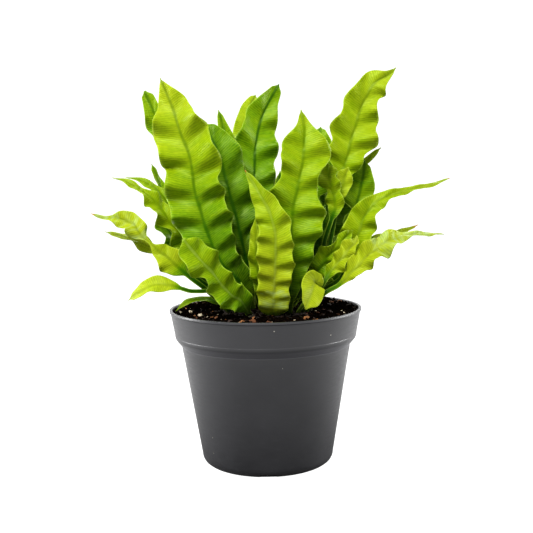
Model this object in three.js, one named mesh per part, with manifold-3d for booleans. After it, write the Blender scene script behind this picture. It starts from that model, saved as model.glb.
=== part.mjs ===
// Potted bird's nest fern with ruffled fronds, in a round nursery pot.
// Millimetres, +Z up. The origin is the middle of the pot's flat underside; -Y is the front.

import * as THREE from "three";
import { mergeVertices } from "three/addons/utils/BufferGeometryUtils.js";
import Module from "manifold-3d";

const wasm = await Module();
wasm.setup();

const DEGREE = Math.PI / 180;
const CLEARANCE = 0.3; // gap between pieces that touch on the real plant

// Pot: a 6 inch nursery pot
const RIM_RADIUS = 76;
const POT_HEIGHT = 124;
const WALL = 1.3;
const FLOOR = 2.4;
const LIP_HEIGHT = 2.2;
const LIP_OVERHANG = 0.8;
const COLLAR_BOTTOM_RADIUS = 71.6;
const COLLAR_BOTTOM = 101.2;
const STEP_RADIUS = 67;
const STEP_BOTTOM = 95.8;
const BODY_FOOT_RADIUS = 52.5;
const FOOT_ROUND = 8; // radius of the rounding between the wall and the flat underside
const FOOT_STEPS = 3;
const BASE_RADIUS = BODY_FOOT_RADIUS - FOOT_ROUND;
const BEAD = 0.5; // how far the bead at the foot of the collar stands out
const BEAD_HEIGHT = 2.4;
const DRAIN_COUNT = 3;
const DRAIN_WIDTH = 13;
const DRAIN_HEIGHT = 3.2;
const DRAIN_START = 45; // radius that the drain notches reach in to
const DRAIN_DEPTH = 20;
const WALL_BEND = 1; // how much higher the bends lie inside than outside
const FLOOR_ROUND = 1.5; // radius of the rounding inside at the floor
const POT_SIDES = 44;

// Soil: fills the pot to just under the rim and rises a little towards the plant
const SOIL_EDGE = 122.6;
const SOIL_MOUND = 0.6;
const SOIL_RELIEF = 0.65;
const SOIL_RINGS = [0.86, 0.72, 0.58, 0.44, 0]; // shares of the edge's radius
const SOIL_SIDES = 44;
const EVEN = 0.01; // smallest difference in height or radius that counts

// Crown: the short rhizome that all fronds grow from
const CROWN_CENTRE = [2, -10];
const CROWN_RADIUS = 35;
const CROWN_FOOT = 92;
const CROWN_EDGE = 123.5;
const CROWN_DOME = 4;
const CROWN_RINGS = [1, 0.85, 0.65, 0.4, 0]; // shares of the radius
const CROWN_SIDES = 30;
const SOCKET_DEPTH = 6;
const RING_RADIUS = { inner: 8.5, middle: 17.5, outer: 26.5 };

// Fronds
const BLADE = 0.8; // thickness at the margin
const RIB = 1.7; // thickness over the midrib
const STALK = 2.6; // thickness of the stalk in its socket
const STALK_HALF = 1.9; // half the width of the stalk
const BARE = 12; // length of the bare stalk, from the foot in its socket
const FLARE = 12; // length over which the stalk flares into the blade
const STEPS_PER_WAVE = 4;
const SLOW_TURN = 0.43; // turns of the slow change of width for each ruffle
const GROWN = 0.25; // share of the length over which the ruffles grow to their full height
const CROWDING = 0.35; // how much closer the ruffles are at the foot, and wider at the tip
const PLEAT_SLANT = 2.0; // how far a pleat's phase lags at the margin, in radians
const PLEAT_SKEW = 0.4; // how much steeper a pleat's underside is than its upper side
const NORMAL_STEP = 0.5; // how far ahead and behind the surface's slope is measured
const WELD = 1e-4; // points nearer than this are one

function crownTop(x, y) {
  const reach = Math.hypot(x - CROWN_CENTRE[0], y - CROWN_CENTRE[1]) / CROWN_RADIUS;
  return CROWN_EDGE + CROWN_DOME * (1 - reach * reach);
}

// Each frond stands in its own place on a ring of the crown: slot is its angle in degrees, with
// 0 to the right, 90 to the back and 270 to the front. path goes on from there along the midrib.
// face and rise are the azimuth and elevation that the blade's upper side looks to, from foot to
// tip, and cup folds both halves towards that side. half is half the greatest width, reached at
// the share broadest of the length, foot is the share of it that the blade starts with past the
// bare stalk, and tip is above 1 for a drawn-out point and below 1 for a blunt one. ruffle is
// the height of the waves at the margin, wave their length, phase their start in quarter waves,
// and scallop the share of the width that comes and goes with them. uneven is the share of the
// width that comes and goes slowly, in turn on the two sides. A frond of a rarer shape has an
// outline in place of broadest, foot and tip: widths, as shares of half, from stalk to tip.
const FRONDS = [
  // the tall fronds that make the outline
  { name: "left_tall", ring: "middle", slot: 228, half: 21, face: [272, 262], rise: [0, 6],
    path: [[-18, -37, 148], [-31, -43, 163], [-40, -46, 182], [-46, -47, 202], [-51, -47, 222],
      [-53, -46, 241], [-61, -43, 264], [-67, -39, 283], [-75, -35, 302]],
    ruffle: 6, phase: 0, bare: 14, wave: 21, scallop: 0.05,
    uneven: 0.04, outline: [0.2, 0.5, 0.64, 0.78, 0.92, 1, 1.02, 1, 1, 0.95, 0.78, 0.4, 0.02] },
  { name: "left_back", ring: "middle", slot: 128, half: 9, face: [280, 276], rise: [4, 10],
    path: [[-27, 8, 160], [-46, 17, 200], [-69, 25, 246], [-84, 30, 272], [-95, 33, 298]],
    ruffle: 4, phase: 1, outline: [0.1, 0.15, 0.2, 0.25, 0.3, 0.4, 0.9, 1.05, 0.95, 0.5] },
  { name: "left_arched", ring: "inner", slot: 245, half: 18, face: [290, 292], rise: [0, 20],
    path: [[-15, -22, 168], [-20, -24, 192], [-27, -26, 220], [-33, -27, 245], [-39, -28, 258],
      [-44, -30, 268]],
    ruffle: 6, phase: 2, wave: 24,
    outline: [0.15, 0.15, 0.2, 0.3, 0.7, 0.95, 1, 1, 0.95, 0.8, 0.3] },
  { name: "centre_left", ring: "inner", slot: 202, half: 10, face: [282, 276], rise: [0, 4],
    path: [[-9, -12, 165], [-17, -9, 209], [-26, -3, 249], [-34, 1, 280]],
    ruffle: 3.2, phase: 3 },
  { name: "back_pale", ring: "inner", slot: 95, half: 16, face: [265, 275], rise: [6, 30],
    path: [[-4, 9, 165], [-9, 21, 210], [-12, 38, 255], [-11, 52, 282], [-5, 66, 296]],
    ruffle: 4.2, phase: 1 },
  { name: "centre_back", ring: "inner", slot: 150, half: 17, face: [274, 290], rise: [0, 12],
    path: [[-7, 2, 207], [-7, 8, 231], [-6, 12, 249], [-3, 17, 266], [4, 21, 284], [14, 24, 301]],
    ruffle: 5, phase: 2, tip: 0.62, wave: 22, broadest: 0.62 },
  { name: "right_front", ring: "outer", slot: 300, half: 22, face: [268, 280], rise: [0, 8],
    path: [[20, -43, 162], [20, -47, 185], [22, -48, 206], [27, -46, 227], [30, -43, 244],
      [31, -39, 261], [29, -34, 277]],
    ruffle: 5.5, phase: 0, bare: 14, wave: 20, scallop: 0.07,
    outline: [0.2, 0.38, 0.52, 0.72, 0.95, 1.06, 1, 0.78, 0.62, 0.92, 0.7, 0.28, 0.05] },
  { name: "front_bright", ring: "outer", slot: 279, half: 13.5, face: [270, 262], rise: [-6, -12],
    path: [[6, -48, 132], [7, -55, 152], [8, -60, 171], [8, -62, 187], [4, -60, 203],
      [-4, -56, 218], [-13, -51, 233]],
    ruffle: 3.2, phase: 3, broadest: 0.5, tip: 1.1, foot: 0.7, bare: 4, wave: 15, scallop: 0.06 },
  { name: "front_narrow", ring: "middle", slot: 262, half: 6.4, face: [262, 255], rise: [0, 4],
    path: [[-3, -44, 147], [-6, -51, 167], [-6, -53, 182], [-4, -48, 201]],
    ruffle: 3.4, phase: 1, wave: 15 },
  { name: "right_tall", ring: "middle", slot: 0, half: 18.5, face: [262, 275], rise: [0, 14],
    path: [[46, -9, 178], [52, -7, 198], [58, -4, 214], [63, 0, 231], [69, 2, 253], [75, 5, 272],
      [81, 6, 287], [89, 7, 299], [99, 8, 305], [106, 9, 311]],
    ruffle: 5.5, phase: 2, wave: 19, scallop: 0.12, uneven: 0.08, bare: 84,
    outline: [0.1, 0.12, 0.15, 0.36, 0.72, 0.94, 1, 0.9, 0.7, 0.68, 0.64, 0.26, 0.05] },
  { name: "right_back", ring: "middle", slot: 30, half: 14.5, face: [262, 266], rise: [0, 8],
    path: [[61, 4, 168], [69, 7, 188], [74, 9, 205], [78, 10, 219], [80, 11, 230], [81, 12, 239]],
    ruffle: 4, phase: 0, foot: 0.3, tip: 0.5, wave: 18 },
  { name: "right_edge", ring: "outer", slot: 38, half: 7, face: [250, 255], rise: [0, 10],
    path: [[61, 18, 167], [66, 22, 188], [70, 24, 213], [76, 22, 231], [85, 20, 240],
      [95, 18, 249]],
    ruffle: 2.4, phase: 2, cup: [20, 30], wave: 18 },

  // the fronds that arch out to the right
  { name: "right_mid", ring: "outer", slot: 358, half: 12.5, face: [262, 270], rise: [10, 30, 40],
    path: [[44, -17, 138], [58, -24, 149], [66, -28, 166], [71, -31, 183], [76, -32, 196],
      [83, -32, 206], [95, -31, 212], [110, -28, 216], [127, -22, 219], [144, -12, 224]],
    ruffle: 4.4, phase: 1, wave: 19, cup: [20, 14], bare: 52,
    outline: [0.1, 0.9, 1, 0.7, 0.34, 0.2, 0.15, 0.05] },
  { name: "right_low", ring: "outer", slot: 338, half: 9.5, face: [262, 270], rise: [20, 50],
    path: [[45, -40, 140], [55, -48, 147], [62, -53, 155], [72, -54, 165], [82, -52, 174],
      [94, -48, 180], [112, -40, 183], [137, -28, 182]],
    ruffle: 4.4, phase: 3, wave: 17, uneven: 0.15, bare: 44,
    outline: [0.15, 0.3, 0.75, 1, 1, 0.75, 0.4, 0.25, 0.2, 0.05] },
  { name: "right_low_back", ring: "outer", slot: 18, half: 6.5, face: [265, 275], rise: [30, 55],
    path: [[58, -18, 151], [72, -22, 165], [81, -22, 171], [92, -18, 178], [105, -12, 182],
      [121, -4, 188]],
    ruffle: 2.4, phase: 2, tip: 1.4, bare: 40, broadest: 0.6, wave: 19 },
  { name: "front_right_curl", ring: "outer", slot: 319, half: 9.5, face: [300, 290],
    rise: [165, 140, 70, 15, 5, 0], cup: [10, 14],
    path: [[29, -38, 132], [34, -47, 143], [36, -54, 150], [35, -60, 148], [33, -64, 142],
      [30, -67, 135], [29, -68, 132]],
    ruffle: 1.2, phase: 0, wave: 20, scallop: 0.03,
    outline: [0.1, 0.12, 0.15, 0.3, 0.6, 0.85, 1, 1, 0.95, 0.75, 0.4] },
  { name: "right_short", ring: "middle", slot: 288, half: 9.5, face: [262, 285], rise: [0, 20],
    path: [[35, -32, 148], [44, -36, 162], [53, -40, 174], [61, -40, 182], [67, -37, 187]],
    ruffle: 5, phase: 2, wave: 12.5, scallop: 0.24, uneven: 0.25, bare: 22 },
  { name: "right_ruffled", ring: "middle", slot: 310, half: 8.5, face: [268, 280], rise: [0, 10],
    path: [[37, -25, 168], [44, -23, 187], [49, -22, 205], [51, -21, 218]],
    ruffle: 4.8, phase: 3, wave: 12, scallop: 0.24, uneven: 0.2 },
  { name: "right_inner", ring: "middle", slot: 332, half: 12.5, face: [250, 238], rise: [0, 10],
    path: [[43, -14, 172], [52, -13, 190], [57, -12.5, 208], [58, -9, 231]],
    ruffle: 4.8, phase: 1, wave: 13, scallop: 0.24, uneven: 0.25,
    outline: [0.2, 0.4, 0.7, 1, 1, 0.8, 0.95, 0.6, 0.05] },

  // the fronds that arch out to the left
  { name: "left_curl", ring: "middle", slot: 200, half: 10, face: [275, 290], rise: [10, 50],
    path: [[-49, -22, 169], [-59, -23, 179], [-68, -24, 190], [-76, -25, 201], [-83, -25, 211],
      [-93, -24, 219], [-103, -22, 225], [-115, -20, 229]],
    ruffle: 5.4, phase: 1, tip: 1.3, bare: 30, wave: 16, uneven: 0.2, scallop: 0.2 },
  { name: "left_curl_back", ring: "middle", slot: 165, half: 9.5, face: [290, 300], rise: [10, 40],
    path: [[-59, -5, 182], [-68, -5, 194], [-74, -4, 206], [-82, -3, 217], [-93, -1, 225],
      [-108, 1, 229]],
    ruffle: 3.8, phase: 2, tip: 1.2, bare: 30, wave: 18 },
  { name: "left_far", ring: "outer", slot: 201, half: 10.5, face: [275, 270], rise: [15, 20, 30],
    path: [[-45, -30, 143], [-55, -35, 152], [-64, -37, 160], [-73, -38, 169], [-82, -37, 176],
      [-86, -36, 180], [-93, -34, 186], [-99, -31, 194], [-110, -28, 198], [-123, -25, 199],
      [-132, -22, 202]],
    ruffle: 4.4, phase: 0, wave: 16, scallop: 0.22, bare: 54,
    outline: [0.15, 0.8, 1, 0.75, 0.18, 0.22, 0.7, 0.85, 0.55, 0.28, 0.15, 0.05] },
  { name: "left_far_low", ring: "outer", slot: 162, half: 5.5, face: [270, 275], rise: [30, 50],
    path: [[-44, -14, 143], [-68, -16, 160], [-90, -14, 175], [-105, -11, 182], [-124, -8, 187]],
    ruffle: 3.6, phase: 3, bare: 40, outline: [0.15, 0.2, 0.2, 0.25, 0.6, 1, 0.9, 0.5, 0.05] },
  { name: "left_low", ring: "outer", slot: 219, half: 7.5, face: [270, 265], rise: [30, 50],
    path: [[-28, -30, 134], [-40, -35, 142], [-49, -41, 143], [-56, -46, 144], [-61, -49, 146],
      [-69, -51, 149], [-82, -52, 149.5], [-92, -51, 145], [-102, -47, 138]],
    ruffle: 1.6, phase: 0, bare: 58, wave: 20, outline: [0.1, 0.5, 0.9, 1, 0.95, 0.6, 0.05] },
  { name: "soil_left", ring: "outer", slot: 181, half: 3.2, face: [265, 260], rise: [40, 60],
    path: [[-34, -16, 130], [-48, -19, 134], [-59, -22, 133], [-69, -25, 126]],
    ruffle: 0.8, phase: 0 },
  { name: "front_left_low", ring: "outer", slot: 242, half: 12.5, face: [285, 292], rise: [-4, 16],
    path: [[-18, -49, 136], [-26, -56, 143], [-33, -61, 152], [-40, -65, 162], [-46, -68, 169],
      [-52, -70, 177], [-58, -71, 185]],
    ruffle: 4.2, phase: 2, bare: 12, wave: 16, scallop: 0.12, uneven: 0.1,
    outline: [0.2, 0.65, 0.8, 0.85, 1, 0.85, 0.75, 0.95, 1, 0.85, 0.4] },
  { name: "left_dark", ring: "outer", slot: 144, half: 12, face: [316, 322], rise: [0, 10],
    path: [[-66, 10, 170], [-76, 14, 185], [-81, 17, 201], [-82, 20, 215], [-86, 22, 229],
      [-90, 24, 239]],
    ruffle: 4.6, phase: 1, wave: 18, uneven: 0.15, tip: 0.9 },

  // the fronds inside the plant
  { name: "centre_inner", ring: "inner", slot: 290, half: 12, face: [262, 240], rise: [0, 4],
    path: [[12, -16, 171], [15, -13, 206], [13, -11, 232]],
    ruffle: 3.6, phase: 0 },
  { name: "back_right", ring: "inner", slot: 0, half: 14, face: [260, 245], rise: [0, 35],
    path: [[35, 6, 197], [41, 12, 213], [44, 22, 232], [46, 31, 250], [48, 38, 267]],
    ruffle: 5, phase: 2, tip: 0.5, broadest: 0.7, wave: 18 },
];

// The fronds behind the plant follow one rule: each leans out from its slot along its heading,
// ever further, and looks up and back to the crown.
const BACK_FRONDS = [
  { name: "back_1", ring: "outer", slot: 58, heading: 49, length: 130, lean: [33, 78], half: 13 },
  { name: "back_2", ring: "outer", slot: 76, heading: 70, length: 160, lean: [16, 62], half: 15 },
  { name: "back_3", ring: "outer", slot: 93, heading: 96, length: 150, lean: [28, 78], half: 14 },
  { name: "back_4", ring: "outer", slot: 110, heading: 118, length: 158, lean: [16, 62], half: 14 },
  { name: "back_5", ring: "middle", slot: 62, heading: 63, length: 158, lean: [20, 47], half: 15 },
  { name: "back_6", ring: "middle", slot: 95, heading: 92, length: 150, lean: [10, 34], half: 14 },
  { name: "back_7", ring: "outer", slot: 128, heading: 142, length: 140, lean: [26, 74], half: 14 },
];
const BACK_POINTS = 5;
const BACK_RUFFLE = 4.2;
const BACK_WAVE = 27;

function azimuthDirection(azimuth, elevation) {
  const around = azimuth * DEGREE;
  const up = elevation * DEGREE;
  return new THREE.Vector3(
    Math.cos(around) * Math.cos(up),
    Math.sin(around) * Math.cos(up),
    Math.sin(up),
  );
}

function slotPoint(ring, slot) {
  const x = CROWN_CENTRE[0] + RING_RADIUS[ring] * Math.cos(slot * DEGREE);
  const y = CROWN_CENTRE[1] + RING_RADIUS[ring] * Math.sin(slot * DEGREE);
  return new THREE.Vector3(x, y, crownTop(x, y) - SOCKET_DEPTH);
}

function leaningPath(frond) {
  const point = slotPoint(frond.ring, frond.slot);
  const step = frond.length / BACK_POINTS;
  const path = [];
  for (let i = 0; i < BACK_POINTS; i += 1) {
    const share = (i + 0.5) / BACK_POINTS;
    const lean = frond.lean[0] + (frond.lean[1] - frond.lean[0]) * share;
    point.addScaledVector(azimuthDirection(frond.heading, 90 - lean), step);
    path.push(point.toArray());
  }
  return path;
}

function backFrond(frond, index) {
  return {
    ...frond,
    path: leaningPath(frond),
    face: [frond.heading + 180, frond.heading + 180],
    rise: [frond.lean[0], frond.lean[1]],
    ruffle: BACK_RUFFLE,
    wave: BACK_WAVE,
    phase: index % 4,
  };
}

function smooth(from, to, value) {
  const x = Math.min(Math.max((value - from) / (to - from), 0), 1);
  return x * x * (3 - 2 * x);
}

// The value at a share of the way through a list, from its first value to its last.
function between(list, share) {
  const place = Math.min(Math.max(share, 0), 1) * (list.length - 1);
  const i = Math.min(Math.floor(place), list.length - 2);
  return list[i] + (list[i + 1] - list[i]) * (place - i);
}

// A frond as functions of the way along its midrib, in millimetres from its foot.
class Frond {
  constructor({ ring, slot, path, half, face, rise, ruffle, phase, cup = [8, 12], broadest = 0.5,
    tip = 0.75, foot = 0.15, bare = BARE, wave = 23, scallop = 0.08, uneven = 0.06,
    outline = null }) {
    const points = [slotPoint(ring, slot), ...path.map((point) => new THREE.Vector3(...point))];
    this.curve = new THREE.CatmullRomCurve3(points);
    this.length = this.curve.getLength();
    this.steps = Math.round((this.length / wave) * STEPS_PER_WAVE);
    Object.assign(this, { half, face, rise, ruffle, phase, cup, broadest, tip, foot, bare });
    Object.assign(this, { scallop, uneven, outline });
  }

  // The pleats' turn, in radians. It goes up by the same amount from each station to the next.
  turn(share) {
    const crowded = share * (1 + CROWDING * (1 - share));
    return (2 * Math.PI * crowded * this.steps) / STEPS_PER_WAVE + (this.phase * Math.PI) / 2;
  }

  stations() {
    return Array.from({ length: this.steps + 1 }, (_, i) => {
      const root = Math.sqrt((1 + CROWDING) ** 2 - (4 * CROWDING * i) / this.steps);
      return (this.length * (1 + CROWDING - root)) / (2 * CROWDING);
    });
  }

  halfWidth(along) {
    if (this.outline) {
      const share = (along - this.bare) / (this.length - this.bare);
      return Math.max(this.half * between(this.outline, share), STALK_HALF * (1 - share), BLADE);
    }
    const widest = this.broadest * this.length;
    if (along < widest) {
      const share = Math.max(along - this.bare, 0) / (widest - this.bare);
      const start = this.foot * smooth(this.bare, this.bare + FLARE, along);
      const widening = start + (1 - this.foot) * Math.sin((share * Math.PI) / 2);
      return STALK_HALF + (this.half - STALK_HALF) * widening;
    }
    const share = Math.min((along - widest) / (this.length - widest), 1);
    return BLADE + (this.half - BLADE) * Math.max(Math.cos((share * Math.PI) / 2), 0) ** this.tip;
  }

  // The middle of the blade's thickness, across from -1 at the left margin to 1 at the right.
  surface(along, across) {
    const share = along / this.length;
    const at = this.curve.getPointAt(Math.min(Math.max(share, 0), 1));
    const ahead = this.curve.getTangentAt(Math.min(Math.max(share, 0), 1));
    at.addScaledVector(ahead, along - Math.min(Math.max(share, 0), 1) * this.length);
    const facing = azimuthDirection(between(this.face, share), between(this.rise, share));
    const right = new THREE.Vector3().crossVectors(ahead, facing).normalize();
    const front = new THREE.Vector3().crossVectors(right, ahead);

    const side = across < 0 ? -1 : 1;
    const reach = Math.abs(across);
    const fold = between(this.cup, share) * DEGREE;
    const outward = right.clone().multiplyScalar(side * Math.cos(fold));
    outward.addScaledVector(front, Math.sin(fold));
    const lift = front.clone().multiplyScalar(Math.cos(fold));
    lift.addScaledVector(right, -side * Math.sin(fold));

    const turn = this.turn(share);
    const lag = side < 0 ? 0 : Math.PI / 2;
    const pleat = turn + lag - PLEAT_SLANT * reach;
    const half = this.halfWidth(along);
    const grown = smooth(this.bare, this.bare + GROWN * this.length, along);
    const height = (this.ruffle * grown * half) / this.half;
    const slow = this.uneven * Math.sin(SLOW_TURN * turn + side);
    const spread = 1 + grown * (this.scallop * Math.cos(pleat) + slow);
    at.addScaledVector(outward, half * reach * spread);
    at.addScaledVector(lift, height * reach * Math.sin(pleat + PLEAT_SKEW * Math.sin(pleat)));
    return at;
  }

  normal(along, across) {
    const forward = this.surface(along + NORMAL_STEP, across);
    forward.sub(this.surface(along - NORMAL_STEP, across));
    const right = this.surface(along, across < 0 ? 0 : 1);
    right.sub(this.surface(along, across > 0 ? 0 : -1));
    return right.cross(forward).normalize();
  }

  thickness(along, across) {
    const bladeStart = smooth(SOCKET_DEPTH, 6 * SOCKET_DEPTH, along);
    const rib = RIB + (BLADE - RIB) * smooth(0.5 * this.length, this.length, along);
    const goal = across === 0 ? rib : BLADE;
    return STALK + (goal - STALK) * bladeStart;
  }
}

// A closed body of six-cornered rings, one at each station along the midrib: three points across
// the front and three across the back. Front and back are split into triangles alike.
function ringedBody(frond, stations, grow) {
  const positions = [];
  const indices = [];
  for (const along of stations) {
    const reach = 1 + grow / frond.halfWidth(along);
    const front = [];
    const back = [];
    for (const across of [-1, 0, 1]) {
      const offset = frond.normal(along, across);
      offset.multiplyScalar(frond.thickness(along, across) / 2 + grow);
      const middle = frond.surface(along, across * reach);
      front.push(middle.clone().add(offset));
      back.push(middle.clone().sub(offset));
    }
    for (const point of [...front, ...back]) {
      positions.push(...point.toArray());
    }
  }
  const quad = (a, b, c, d) => indices.push(a, b, c, a, c, d);
  for (let i = 0; i < stations.length - 1; i += 1) {
    const here = i * 6;
    const next = here + 6;
    for (const k of [0, 1]) {
      quad(here + k, here + k + 1, next + k + 1, next + k);
      indices.push(here + k + 3, next + k + 4, here + k + 4);
      indices.push(here + k + 3, next + k + 3, next + k + 4);
    }
    quad(here + 3, here, next, next + 3);
    quad(here + 2, here + 5, next + 5, next + 2);
  }
  const last = (stations.length - 1) * 6;
  quad(1, 0, 3, 4);
  quad(2, 1, 4, 5);
  quad(last, last + 1, last + 4, last + 3);
  quad(last + 1, last + 2, last + 5, last + 4);
  return closedGeometry(positions, indices);
}

function frondGeometry(frond) {
  return ringedBody(frond, frond.stations(), 0);
}

function socketGeometry(frond) {
  const stations = frond.stations().filter((along) => along > 0 && along < 3 * SOCKET_DEPTH);
  return ringedBody(frond, [-CLEARANCE, ...stations], CLEARANCE);
}

function closedGeometry(positions, indices) {
  const geometry = new THREE.BufferGeometry();
  geometry.setAttribute("position", new THREE.Float32BufferAttribute(positions, 3));
  geometry.setIndex(indices);
  return geometry;
}

function toSolid(geometry) {
  const bare = geometry.clone();
  bare.deleteAttribute("normal");
  bare.deleteAttribute("uv");
  const merged = mergeVertices(bare, WELD);
  return new wasm.Manifold(new wasm.Mesh({
    numProp: 3,
    vertProperties: new Float32Array(merged.attributes.position.array),
    triVerts: new Uint32Array(merged.index.array),
  }));
}

function toGeometry(solid) {
  const mesh = solid.getMesh();
  return closedGeometry(Array.from(mesh.vertProperties), Array.from(mesh.triVerts));
}

function lathe(profile, sides) {
  const geometry = new THREE.LatheGeometry(profile.map(([r, z]) => new THREE.Vector2(r, z)), sides);
  geometry.rotateX(Math.PI / 2);
  return geometry;
}

// The pot: outside from the foot up to the lip, then down the inside.
const FOOT = Array.from({ length: FOOT_STEPS + 1 }, (_, i) => {
  const angle = (i / FOOT_STEPS) * (Math.PI / 2);
  return [BASE_RADIUS + FOOT_ROUND * Math.sin(angle), FOOT_ROUND * (1 - Math.cos(angle))];
});
const POT_OUTSIDE = [
  ...FOOT,
  [STEP_RADIUS, STEP_BOTTOM],
  [COLLAR_BOTTOM_RADIUS, COLLAR_BOTTOM],
  [COLLAR_BOTTOM_RADIUS + BEAD, COLLAR_BOTTOM + BEAD_HEIGHT / 2],
  [COLLAR_BOTTOM_RADIUS + BEAD, COLLAR_BOTTOM + BEAD_HEIGHT],
  [RIM_RADIUS - LIP_OVERHANG, POT_HEIGHT - LIP_HEIGHT],
  [RIM_RADIUS, POT_HEIGHT - LIP_HEIGHT],
  [RIM_RADIUS, POT_HEIGHT],
];
const POT_INSIDE = [
  [RIM_RADIUS - LIP_OVERHANG - WALL, POT_HEIGHT],
  [COLLAR_BOTTOM_RADIUS - WALL, COLLAR_BOTTOM + WALL_BEND],
  [STEP_RADIUS - WALL, STEP_BOTTOM + WALL_BEND],
  [BODY_FOOT_RADIUS - WALL, FOOT_ROUND + WALL_BEND],
  [BASE_RADIUS + FLOOR_ROUND, FLOOR],
];

function potGeometry() {
  const bowl = toSolid(lathe([[0, 0], ...POT_OUTSIDE, ...POT_INSIDE, [0, FLOOR]], POT_SIDES));
  let pot = bowl;
  for (let i = 0; i < DRAIN_COUNT; i += 1) {
    const notch = new THREE.BoxGeometry(DRAIN_DEPTH, DRAIN_WIDTH, 2 * DRAIN_HEIGHT);
    notch.translate(DRAIN_START + DRAIN_DEPTH / 2, 0, 0);
    notch.rotateZ((i / DRAIN_COUNT) * 2 * Math.PI - Math.PI / 2);
    pot = pot.subtract(toSolid(notch));
  }
  return toGeometry(pot);
}

function soilTop(x, y) {
  const mound = SOIL_MOUND * (1 - (x * x + y * y) / (RIM_RADIUS * RIM_RADIUS));
  const broad = Math.sin(0.31 * x + 1.1) * Math.cos(0.27 * y);
  const fine = 0.6 * Math.sin(0.55 * x - 0.43 * y);
  return SOIL_EDGE + mound + SOIL_RELIEF * (broad + fine);
}

// The soil: follows the pot's inside, with crumbs on top and a plain round hole for the crown.
function soilGeometry() {
  const [top, step, chamfer, foot, floor] = POT_INSIDE;
  const share = (SOIL_EDGE - step[1]) / (top[1] - step[1]);
  const edge = step[0] + (top[0] - step[0]) * share - CLEARANCE;
  const profile = [
    [0, floor[1] + CLEARANCE],
    [floor[0] - CLEARANCE, floor[1] + CLEARANCE],
    [foot[0] - CLEARANCE, foot[1]],
    [chamfer[0] - CLEARANCE, chamfer[1] + CLEARANCE],
    [step[0] - CLEARANCE, step[1] + CLEARANCE],
    [edge, SOIL_EDGE],
    ...SOIL_RINGS.map((ring) => [edge * ring, SOIL_EDGE]),
  ];
  const geometry = lathe(profile, SOIL_SIDES);
  const place = geometry.attributes.position;
  for (let i = 0; i < place.count; i += 1) {
    const radius = Math.hypot(place.getX(i), place.getY(i));
    if (place.getZ(i) > SOIL_EDGE - EVEN && radius < edge - EVEN) {
      place.setZ(i, soilTop(place.getX(i), place.getY(i)));
    }
  }
  const hole = new THREE.CylinderGeometry(
    CROWN_RADIUS + CLEARANCE,
    CROWN_RADIUS + CLEARANCE,
    2 * (SOIL_EDGE - CROWN_FOOT + CLEARANCE),
    CROWN_SIDES,
  );
  hole.rotateX(Math.PI / 2);
  hole.translate(...CROWN_CENTRE, SOIL_EDGE);
  return toGeometry(toSolid(geometry).subtract(toSolid(hole)));
}

// The crown: a low mound with a socket for the foot of every frond.
function crownGeometry(fronds) {
  const profile = [[0, CROWN_FOOT], [CROWN_RADIUS, CROWN_FOOT]];
  for (const share of CROWN_RINGS) {
    profile.push([CROWN_RADIUS * share, CROWN_EDGE + CROWN_DOME * (1 - share * share)]);
  }
  const mound = lathe(profile, CROWN_SIDES);
  mound.translate(...CROWN_CENTRE, 0);
  let crown = toSolid(mound);
  for (const frond of fronds) {
    crown = crown.subtract(toSolid(socketGeometry(frond)));
  }
  return toGeometry(crown);
}

function material(color, roughness) {
  return new THREE.MeshStandardMaterial({ color, roughness, metalness: 0 });
}

function addPiece(group, name, geometry, finish) {
  const mesh = new THREE.Mesh(geometry, finish);
  mesh.name = name;
  group.add(mesh);
}

function buildFern() {
  const group = new THREE.Group();
  const rows = [...FRONDS, ...BACK_FRONDS.map(backFrond)];
  const fronds = rows.map((row) => new Frond(row));
  addPiece(group, "pot", potGeometry(), material("#45464a", 0.5));
  addPiece(group, "soil", soilGeometry(), material("#2a2018", 0.95));
  addPiece(group, "crown", crownGeometry(fronds), material("#4a3a22", 0.9));
  fronds.forEach((frond, i) => {
    const leaf = material(i % 3 === 0 ? "#8fbf18" : "#6fae12", 0.45);
    leaf.flatShading = true;
    addPiece(group, `frond_${rows[i].name}`, frondGeometry(frond), leaf);
  });
  return group;
}

export default buildFern();
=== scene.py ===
# A potted bird's nest fern with ruffled fronds. Metres, +Z up, and the front looks along -Y.
import functools
import math
import random

import bpy
import numpy as np
from mathutils import Matrix, Vector, noise


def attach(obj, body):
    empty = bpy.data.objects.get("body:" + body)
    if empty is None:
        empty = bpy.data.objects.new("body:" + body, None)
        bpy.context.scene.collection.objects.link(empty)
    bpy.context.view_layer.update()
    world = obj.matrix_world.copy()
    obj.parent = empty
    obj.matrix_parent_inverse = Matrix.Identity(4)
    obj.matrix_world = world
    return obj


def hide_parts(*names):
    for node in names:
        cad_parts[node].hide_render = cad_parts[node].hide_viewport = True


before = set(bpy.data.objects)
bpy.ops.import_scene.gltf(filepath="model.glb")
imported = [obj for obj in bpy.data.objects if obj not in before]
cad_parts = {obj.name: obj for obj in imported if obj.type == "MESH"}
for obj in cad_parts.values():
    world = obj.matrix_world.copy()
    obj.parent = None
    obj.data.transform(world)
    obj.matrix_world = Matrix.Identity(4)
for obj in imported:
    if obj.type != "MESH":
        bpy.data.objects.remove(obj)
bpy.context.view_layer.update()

MM = 0.001
SEED = 11

# ---- pot sizes, in millimetres

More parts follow.
